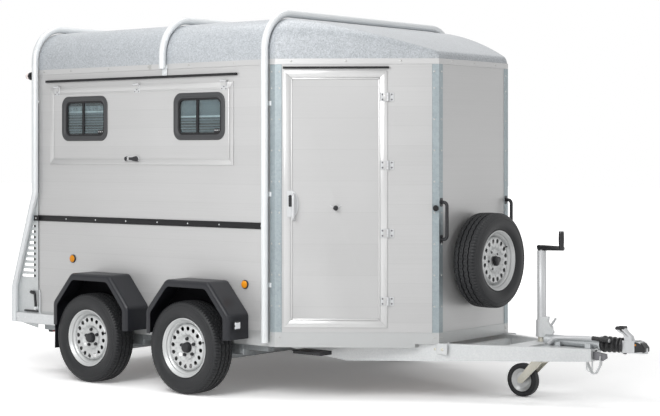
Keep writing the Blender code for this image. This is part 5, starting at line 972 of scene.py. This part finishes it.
# A dull near-black finish for that painted arch shade.
painted_arch_shade = finish("painted_arch_shade", rubbed, (0.008, 0.008, 0.01), (0.003, 0.003, 0.004), 60.0, 0.7, 0.0, 0.3,
                       shine=0.1)
piece("fender_painted_arch_shade", arch_shade_sheets, painted_arch_shade)

# Front lamps: a small white position lamp in a black frame on the front fender of each side.
# A prismatic clear lens over a white reflector.
white_lens = finish("white_lens", ribbed, (0.92, 0.93, 0.95), (0.7, 0.72, 0.75), 80.0, 0.18, 0.0, 0.3, lacquer=glossy)
lamp_x, lamp_y, lamp_z = 2.032, 1.137, 0.474
lenses, frames = [], []
lamp_frame = plate(rounded(box_outline((-0.031, -0.0275), (0.031, 0.0275)), 0.007), -0.004, 0.011, 0.002)
lamp_lens = plate(rounded(box_outline((-0.0255, -0.0215), (0.0255, 0.0215)), 0.005), 0.009, 0.015, 0.003)
for side in (-1, 1):
    place = frame_at((lamp_x, side * lamp_y, lamp_z), (0, 1, 0), (1, 0, 0))
    frames += put_on(place, lamp_frame)
    lenses += put_on(place, lamp_lens)
piece("front_lamp_frames", frames, black_plastic)
piece("front_lamp_lenses", lenses, white_lens)

# Road tyres: four radial tyres with three zigzag grooves and slotted shoulders.
# The tread's grid follows the zigzag, so that every groove keeps a crisp edge.
tyre_radius, spare_radius = 0.3052, 0.3078
groove_outs, zig_reach, crown_fall, crown_half = (0.036, 0.0, -0.036), 0.0034, 0.0014, 0.05


def tyre(radius, steps=360, zigs=45):
    """A profile turned round, shifted sideways by a zigzag that swings once per step, its shoulders notched."""
    columns = [(0.1828, 0.0634), (0.19, 0.0655), (0.1985, 0.07), (0.208, 0.079), (0.222, 0.0872),
               (0.24, 0.0908), (0.259, 0.0898), (0.27, 0.088), (0.272, 0.0893), (0.2745, 0.089),
               (0.2765, 0.0866), (0.287, 0.0835), (radius - 0.014, 0.08), (radius - 0.008, 0.0755),
               (radius - 0.004, 0.07), (radius - 0.0022, 0.065), (radius - 0.0016, 0.056)]
    side = [(r, out, 0.0, 0.006 if out > 0.064 and r > radius - 0.012 else 0.0) for r, out in columns]
    tread = []
    for middle in groove_outs:
        for offset, depth, cut in ((0.014, 0, 0.003), (0.011, 0, 0.003), (0.01, 0, 0), (0.0048, 0, 0),
                                   (0.0038, 0.009, 0), (-0.0038, 0.009, 0), (-0.0048, 0, 0), (-0.01, 0, 0),
                                   (-0.011, 0, 0.003), (-0.014, 0, 0.003)):
            out = middle + offset
            tread.append((radius - crown_fall * (out / crown_half) ** 2 - depth, out, 1.0, cut))
    table = np.array(side + tread + [(r, -out, 0.0, notch) for r, out, _, notch in side[::-1]])
    step = np.arange(steps)
    swing = np.abs((step * zigs / steps * 2) % 2 - 1) * 2 - 1
    notched = ((step % 4) == 0).astype(float)
    r = table[:, :1] - table[:, 3:] * notched
    out = table[:, 1:2] + zig_reach * table[:, 2:3] * swing
    return skinned(circled(r, turns(steps), out), closed=True)


tyre_rubber = finish("tyre_rubber", rubbed, (0.03, 0.031, 0.033), (0.013, 0.0135, 0.015), 90.0, 0.5, 0.0, 0.35,
                     shine=0.3)
wheel_frames = {}
for end, axle_x in axle_xs.items():
    for name, side in (("right", -1), ("left", 1)):
        place = frame_at((axle_x, side * wheel_y, wheel_z), (1, 0, 0), (0, side, 0))
        wheel_frames["%s_%s" % (end, name)] = place
        piece("tyre_%s_%s_rubber" % (end, name), put_on(place, tyre(tyre_radius)), tyre_rubber,
              "wheel_%s_%s" % (end, name), ["tyre_%s_%s" % (end, name)], 28.0)

# Rims: 14 inch pressed steel rims, silver lacquered, with sixteen round holes in the disc.
# The disc is a smooth pressed sheet welded into the rim's well, round a sunk mounting face.
rim_paint = finish("rim_paint", rubbed, (0.6, 0.61, 0.61), (0.55, 0.56, 0.56), 60.0, 0.36, 0.3, 0.02, 0.0001,
                   lacquer=(0.15, 0.15))
drum_iron = finish("drum_iron", rubbed, (0.06, 0.058, 0.056), (0.03, 0.029, 0.028), 90.0, 0.6, 0.5, 0.3)
well = [(0.1905, 0.0735), (0.194, 0.0722), (0.195, 0.0685), (0.193, 0.0655), (0.1825, 0.064), (0.1795, 0.056),
        (0.169, 0.036), (0.161, 0.026), (0.16, 0.022), (0.16, -0.022), (0.161, -0.026), (0.1795, -0.056),
        (0.1825, -0.064), (0.193, -0.0655), (0.195, -0.0685), (0.1905, -0.0735), (0.18, -0.064), (0.174, -0.056),
        (0.156, -0.026), (0.1545, -0.022), (0.1545, 0.02), (0.156, 0.026), (0.164, 0.038), (0.169, 0.0455),
        (0.173, 0.0475), (0.1735, 0.056), (0.177, 0.06), (0.185, 0.0665), (0.188, 0.0722)]
disc_line = np.array([(0.056, 0.027), (0.07, 0.027), (0.0735, 0.0275), (0.077, 0.033), (0.08, 0.0355),
                      (0.085, 0.041), (0.09, 0.044), (0.096, 0.0445), (0.101, 0.0425), (0.11, 0.042),
                      (0.13, 0.043), (0.14, 0.0425), (0.146, 0.0385), (0.15, 0.03), (0.1545, 0.02)])
hole_circle, hole_radius, hole_count, around = 0.125, 0.015, 16, 32


def pressed_disc():
    """Sixteen equal sectors: in each, rings of points run from the round hole out to the sector's border."""
    angle = turns(around, 0.5)
    u, v = np.cos(angle), np.sin(angle)
    square = np.maximum(np.abs(u), np.abs(v))
    u_edge, v_edge = u / square, v / square
    low, high = disc_line[0, 0], disc_line[-1, 0]
    edge_r = hole_circle + u_edge * np.where(u_edge > 0, high - hole_circle, hole_circle - low)
    edge_turn = v_edge * math.pi / hole_count
    share = np.array([0.0, 0.05, 0.14, 0.26, 0.38, 0.5, 0.62, 0.74, 0.86, 0.94, 1.0])[:, None]
    r = (hole_circle + u * hole_radius) * (1 - share) + edge_r * share
    turn = (v * hole_radius / hole_circle) * (1 - share) + edge_turn * share
    out = np.interp(r, disc_line[:, 0], disc_line[:, 1]) - np.where(share < 0.01, 0.0015, 0.0)
    turn = turn + (2 * math.pi / hole_count * np.arange(hole_count))[:, None, None]
    index = np.arange(turn.size).reshape(turn.shape)
    here, there = index[:, :-1], index[:, 1:]
    quads = np.stack([here, np.roll(here, -1, 2), np.roll(there, -1, 2), there], -1).reshape(-1, 4)
    return circled(r, turn, out).reshape(-1, 3), [quads]


hub = [(0.0, 0.0325), (0.04, 0.0325), (0.058, 0.03), (0.06, 0.024), (0.0, 0.024)]
cap = [(0.0, 0.028), (0.0345, 0.028), (0.0345, 0.04), (0.032, 0.043), (0.0315, 0.06), (0.029, 0.0645),
       (0.024, 0.0665), (0.0, 0.0668)]
ring = [(0.036, 0.03), (0.046, 0.03), (0.046, 0.0345), (0.044, 0.036), (0.038, 0.036), (0.036, 0.0345)]
drum = [(0.0, -0.0855), (0.108, -0.0855), (0.115, -0.08), (0.115, 0.005), (0.105, 0.018), (0.07, 0.0235), (0.0, 0.0235)]
bolt = [(0.0, 0.028), (0.0135, 0.028), (0.0105, 0.0345), (0.01, 0.042), (0.008, 0.044), (0.0, 0.0445)]
valve = [(0.15, 0.022, -0.004), (0.151, 0.04, -0.004), (0.152, 0.052, -0.004)]
bolt_circle, bolt_count = 0.056, 5
bolt_spots = circled(bolt_circle, turns(bolt_count, 0.1), 0.0)


def rim_set(name, place, body, extra, stands_in, bolt_spot_shape):
    """Puts a rim, its disc, hub parts and a shape at each bolt spot on one wheel, all turned by an extra angle about
    its axle: bolt heads on a road wheel, and on the spare black discs of painted shade for its empty bolt holes.
    """
    c, s = math.cos(extra), math.sin(extra)

    def spun(shape):
        """Turns a shape about the out axis: along and up are mixed by the angle's cosine and sine."""
        return shape[0] @ np.array([[c, 0, s], [0, 1, 0], [-s, 0, c]]), shape[1]

    stem = tube(valve, 0.0045, (1, 0, 0), 10)
    rim = put_on(place, turned(well, closed=True, steps=96), turned(hub, steps=64),
                 spun(turned(ring, closed=True, steps=48)))
    disc = put_on(place, spun(pressed_disc()))
    piece(name + "_rim", rim, rim_paint, body, stands_in, 50.0)
    piece(name + "_disc", disc, rim_paint, body, crease=60.0, wall=0.0045)
    # Road wheels get bolt heads here; the spare gets black discs of painted shade where its bolt holes are.
    heads = [spun(turned(bolt_spot_shape, spot, 12)) for spot in bolt_spots]
    piece(name + "_bolts", put_on(place, *heads, spun(stem)), black_plastic, body, crease=30.0)


wheel_turn, spare_turn = 0.3, 0.6
for key, place in wheel_frames.items():
    body = "wheel_" + key
    rim_set(body, place, body, wheel_turn, [body], bolt)
    piece("hub_cap_" + key, put_on(place, turned(cap, steps=40)), black_plastic, body, crease=40.0)
    piece("drum_" + key, put_on(place, turned(drum, steps=64)), drum_iron, body)

# Spare wheel: the same tyre and rim on a carrier plate on the front wall, facing forward.
# A threaded rod through its hub takes a three-lobed black hand knob.
spare_x, spare_z = 3.216, 0.88396
spare = frame_at((spare_x, 0.0, spare_z), (0, 1, 0), (1, 0, 0))
piece("spare_tyre_rubber", put_on(spare, tyre(spare_radius)), tyre_rubber, replaces=["spare_tyre"],
      crease=28.0)
# Black discs flush with the hub face at the bolt spots: painted shade of the spare's empty bolt holes.
hole_shade_disc = [(0.0, 0.0295), (0.008, 0.0295), (0.008, 0.0325), (0.0, 0.0322)]
rim_set("spare_wheel", spare, "trailer", spare_turn, ["spare_wheel"], hole_shade_disc)
carrier = [plate(rounded(box_outline((-0.12, -0.16), (0.12, 0.16)), 0.02), -0.1218, -0.116, 0.001),
           turned([(0.0, -0.118), (0.05, -0.118), (0.05, 0.02), (0.044, 0.0238), (0.0, 0.0238)], steps=40),
           turned([(0.0, 0.02), (0.0118, 0.02), (0.0118, 0.06), (0.0, 0.06)], steps=24)]
piece("spare_carrier_plate", put_on(spare, *carrier), hoop_zinc, replaces=["spare_carrier"])
knob_radius, lobe_reach, lobe_turn = 0.03, 0.0058, 0.35
lobes = knob_radius + lobe_reach * np.cos(3 * (turns(72) - lobe_turn))
rings = [circled(lobes * grow, turns(72), out)
         for out, grow in ((0.0363, 0.8), (0.04, 0.96), (0.044, 1.0), (0.06, 1.0), (0.065, 0.94), (0.068, 0.8))]
piece("spare_knob", put_on(spare, skinned(rings)), black_plastic, crease=50.0)

# Marker lamps: a black rubber socket with a clear domed lens at the foot of the rear arch.
# Each is screwed to the hoop's rear side, one on each side.
marker_z, marker_start = 2.13496, 0.0343
socket = [(0.0, 0.0), (0.0295, 0.0), (0.03, 0.004), (0.0285, 0.0215), (0.0255, 0.024), (0.0, 0.024)]
dome = [(0.0, 0.02), (0.0238, 0.02), (0.0238, 0.044), (0.0215, 0.0545), (0.015, 0.0602), (0.0, 0.062)]
sockets, lenses = [], []
for y in (-hoop_y, hoop_y):
    place = frame_at((-marker_start, y, marker_z), (0, 1, 0), (-1, 0, 0))
    sockets += put_on(place, turned(socket, steps=36))
    lenses += put_on(place, turned(dome, steps=36))
piece("marker_sockets", sockets, seal_rubber, replaces=["marker_lamp_right", "marker_lamp_left"])
rose_lens = finish("rose_lens", ribbed, (0.95, 0.86, 0.84), (0.8, 0.66, 0.64), 80.0, 0.2, 0.0, 0.3, lacquer=glossy)
piece("marker_lenses", lenses, rose_lens, crease=50.0)

# Rear lamps: a ribbed red and amber lens block under the ramp on each side.
# The lens stands on a black housing; both keep their solids' form with softened edges.
red_lens = finish("red_lens", ribbed, (0.62, 0.02, 0.014), (0.3, 0.006, 0.005), 60.0, 0.22, 0.0, 0.4, lacquer=glossy)
rear_lamp_x, rear_lamp_y, rear_lamp_z = -0.0403, 0.79, 0.32066
for name, side in (("right", -1), ("left", 1)):
    dressed("rear_lamp_" + name, red_lens, edge=0.003)
    place = frame_at((rear_lamp_x, side * rear_lamp_y, rear_lamp_z), (0, 1, 0), (-1, 0, 0))
    split = bar((-0.101, 0.101), (-0.044, -0.002), (-0.046, 0.046), 0.002)
    amber = bar((0.03 * side - 0.03, 0.03 * side + 0.03), (-0.01, 0.0006), (-0.04, 0.04), 0.0005)
    piece("rear_lamp_case_" + name, put_on(place, split), black_plastic)
    piece("rear_lamp_amber_" + name, put_on(place, amber), amber_lens)

# Drawbar: two folded channel beams that meet at the coupling, with welded plates between.
# Hot-dip galvanised, with zinc-yellow bolts through its plates and a safety loop below.
draw_zinc = finish("draw_zinc", spangle, (0.72, 0.73, 0.73), (0.54, 0.56, 0.57), 120.0, 0.46, 0.35, 0.12, 0.0005)
dressed("drawbar", draw_zinc, edge=0.0018)
yellow_zinc = finish("yellow_zinc", spangle, (0.7, 0.68, 0.6), (0.56, 0.54, 0.46), 200.0, 0.35, 0.4, 0.05, 0.0003)
plan = frame_at((0, 0, 0), (1, 0, 0), (0, -1, 0))
# The safety loop's flat strap: two rounded U lines, one inside the other
outer_u = bent([(3.946, 0.334), (3.954, 0.272), (3.99, 0.213), (4.016, 0.213), (4.05, 0.272), (4.056, 0.33)], 0.02, 5)
inner_u = bent([(3.952, 0.334), (3.96, 0.275), (3.993, 0.219), (4.013, 0.219), (4.044, 0.275), (4.05, 0.33)], 0.015, 5)
strap = plate(np.concatenate([outer_u, inner_u[::-1]]), 0.014, 0.046, 0.001)
catch = [(3.996, 0.304), (4.066, 0.3), (4.094, 0.318), (4.09, 0.344), (4.03, 0.352), (3.996, 0.352)]
clamp_plate = plate([(3.528, 0.515), (3.548, 0.532), (3.6, 0.534), (3.592, 0.5), (3.634, 0.436), (3.602, 0.398),
                     (3.536, 0.398)][::-1], -0.12, -0.1, 0.003)
piece("drawbar_straps", put_on(plan, strap, clamp_plate), draw_zinc)
piece("drawbar_catch", put_on(plan, plate(catch, 0.022, 0.036, 0.002)), dark_screws)
plates, heads, pivots = [], [], []
for side in (-1, 1):
    place = frame_at((0, 0, 0), (1, 0, 0), (0, side, 0))
    plates += put_on(place, bar((3.046, 3.16), (0.398, 0.406), (0.302, 0.372), 0.001))
    heads += put_on(place, *domes([(3.07, 0.406, 0.334), (3.124, 0.406, 0.334)], 0.0105, 0.0065, 6))
    for axle_x in axle_xs.values():
        pivots += put_on(place, bar((axle_x + 0.222, axle_x + 0.322), (0.9, 0.962), (0.262, 0.352), 0.004),
                         turned([(0, 0.96), (0.014, 0.96), (0.012, 0.972), (0, 0.972)], (axle_x + 0.3, 0, 0.285), 6))
piece("corner_plates", plates, draw_zinc)
piece("corner_bolts", heads, yellow_zinc)
piece("suspension_blocks", pivots, frame_zinc)
# A thin black bar low under the body, below the right nose panel and under the skirt.
piece("under_nose_black_bar", put_on(plan, bar((2.27, 2.5), (0.74, 0.86), (0.288, 0.312), 0.004)), black_plastic)

# Overrun housing: a machined steel tube in two cast saddles behind the coupling.
# Zinc coated all over; its solid keeps its form, with the edges broken.
housing_zinc = finish("housing_zinc", spangle, (0.54, 0.56, 0.57), (0.34, 0.36, 0.37), 160.0, 0.36, 0.6, 0.12, 0.0004)
dressed("overrun_housing", housing_zinc, edge=0.0015)

# Bellows: a moulded rubber boot with four round ridges over the draw tube.
# The ridges shrink a little toward the coupling head.
bellows_start, bellows_length, coupling_z = 4.0453, 0.135, 0.40196
way = np.linspace(0.0, 1.0, 65)
ridge = 0.5 - 0.5 * np.cos(2 * math.pi * 4 * way)
radius = 0.0365 + (0.0155 - 0.004 * way) * np.clip(ridge * 1.15, 0, 1) ** 0.7 - 0.002 * way
folds = np.column_stack([radius, 0.0002 + (bellows_length - 0.0006) * way])
boot = [(0.0, 0.0), *folds, (0.0, bellows_length - 0.0004)]
place = frame_at((bellows_start, 0.0, coupling_z), (0, 1, 0), (1, 0, 0))
boot_rubber = finish("boot_rubber", rubbed, (0.02, 0.02, 0.022), (0.007, 0.007, 0.008), 160.0, 0.4, 0.0, 0.25,
                     shine=0.35)
piece("bellows_boot", put_on(place, turned(boot, steps=48)), boot_rubber, replaces=["bellows"],
      crease=60.0)

# Coupling head: a pressed steel ball socket with a black plastic nose cap and wear mark.
# Its handle is a bent zinc lever with a black grip pad.
head_start = 4.1803
dressed("coupling_head", bright_zinc, edge=0.0025, crease=25.0)
nose_plastic = finish("nose_plastic", rubbed, (0.016, 0.016, 0.018), (0.006, 0.006, 0.007), 220.0, 0.35, 0.0, 0.2,
                      shine=0.4)
place = frame_at((head_start, 0.0, coupling_z), (1, 0, 0), (0, -1, 0))
cap_outline = rounded([(0.096, -0.0412), (0.1695, -0.03), (0.1698, -0.004), (0.15, 0.022), (0.118, 0.035),
                       (0.096, 0.036)], 0.008)
piece("coupling_nose_cap", put_on(place, plate(cap_outline, -0.0352, 0.0352, 0.006)), nose_plastic,
      crease=40.0)
pad = rounded([(-0.042, 0.099), (-0.028, 0.1135), (0.02, 0.1155), (0.026, 0.104), (-0.018, 0.0985)], 0.004)
piece("coupling_grip", put_on(place, plate(pad, -0.0185, 0.0185, 0.003)), nose_plastic, crease=40.0)
collar = frame_at((head_start, 0.0, coupling_z), (0, 1, 0), (1, 0, 0))
band = turned([(0.03, 0.0005), (0.047, 0.0005), (0.048, 0.003), (0.048, 0.012), (0.0465, 0.0145), (0.03, 0.0145)],
              closed=True, steps=40)
stud = turned([(0, -0.006), (0.011, -0.006), (0.0125, 0.004), (0.011, 0.012), (0, 0.014)], (0.03, 0, -0.046), 20)
piece("coupling_collar", put_on(collar, band, stud), nose_plastic, crease=40.0)
mark = turned([(0, 0.0345), (0.0058, 0.0345), (0.0058, 0.036), (0, 0.0362)], (0.108, 0, 0.012), 20)
piece("coupling_mark", put_on(place, mark), amber_lens)

# Handbrake: a zinc tube lever with a black grip, pivoted beside the overrun housing.
# The grip is a ribbed rubber sleeve drawn over the tube's end.
dressed("handbrake_lever", bright_zinc, edge=0.0)
sleeve = np.array([(4.01, -0.066, 0.439), (4.04, -0.066, 0.4376), (4.08, -0.066, 0.4356), (4.126, -0.066, 0.4325)])
share = np.linspace(0, 1, 33)[:, None]
line = sleeve[0] + (sleeve[-1] - sleeve[0]) * share
ribs = 0.0132 + 0.0014 * (0.5 - 0.5 * np.cos(2 * math.pi * 8 * share[:, 0]))
ribs[[0, -1]] = 0.0126
piece("handbrake_grip", [tube(line, ribs, (0, 1, 0), 20)], boot_rubber, crease=60.0)

# Jockey wheel: a telescopic steel tube with a crank on top and a solid rubber wheel in its fork.
# Galvanised tube and clamp, yellow passivated fork, black crank grip.
dressed("jockey_tube", bright_zinc, edge=0.0)
crank_x, crank_y, crank_z = 3.523, 0.14, 0.969
arm_line = [(crank_x - 0.028, crank_y, crank_z - 0.001)]
arm_line += [(crank_x + along, crank_y, crank_z) for along in (-0.024, 0.14, 0.16, 0.163)]
arm = tube(arm_line, [0.016, 0.019, 0.015, 0.0145, 0.012], (0, 1, 0), 18)
grip_zs = crank_z + np.array([-0.0145, -0.008, 0.004, 0.018, 0.055, 0.092, 0.106, 0.1115])
grip_rs = [0.015, 0.0172, 0.0175, 0.0168, 0.0185, 0.0175, 0.0165, 0.012]
handgrip = tube([(crank_x + 0.145, crank_y, z) for z in grip_zs], grip_rs, (1, 0, 0), 24)
piece("jockey_crank", [arm, handgrip], nose_plastic, crease=50.0)
dressed("jockey_fork", yellow_zinc, "jockey_fork", 0.001)
jockey_x, jockey_z = 3.383, 0.10865
jockey = frame_at((jockey_x, crank_y, jockey_z), (1, 0, 0), (0, -1, 0))
tread = [(0.0745, -0.024), (0.08, -0.0275), (0.095, -0.03), (0.102, -0.0285), (0.107, -0.023), (0.1084, -0.015),
         (0.1084, 0.015), (0.107, 0.023), (0.102, 0.0285), (0.095, 0.03), (0.08, 0.0275), (0.0745, 0.024)]
piece("jockey_tyre", put_on(jockey, turned(tread, steps=64, closed=True)), tyre_rubber, "jockey_wheel",
      ["jockey_wheel"], 50.0)
disc = [(0.0, -0.026), (0.016, -0.026), (0.018, -0.012), (0.05, -0.01), (0.062, -0.018), (0.074, -0.0235),
        (0.0748, -0.02), (0.0748, 0.02), (0.074, 0.0235), (0.062, 0.018), (0.05, 0.01), (0.018, 0.012),
        (0.016, 0.026), (0.0, 0.026)]
piece("jockey_rim", put_on(jockey, turned(disc, steps=56)), rim_paint, "jockey_wheel", crease=35.0)
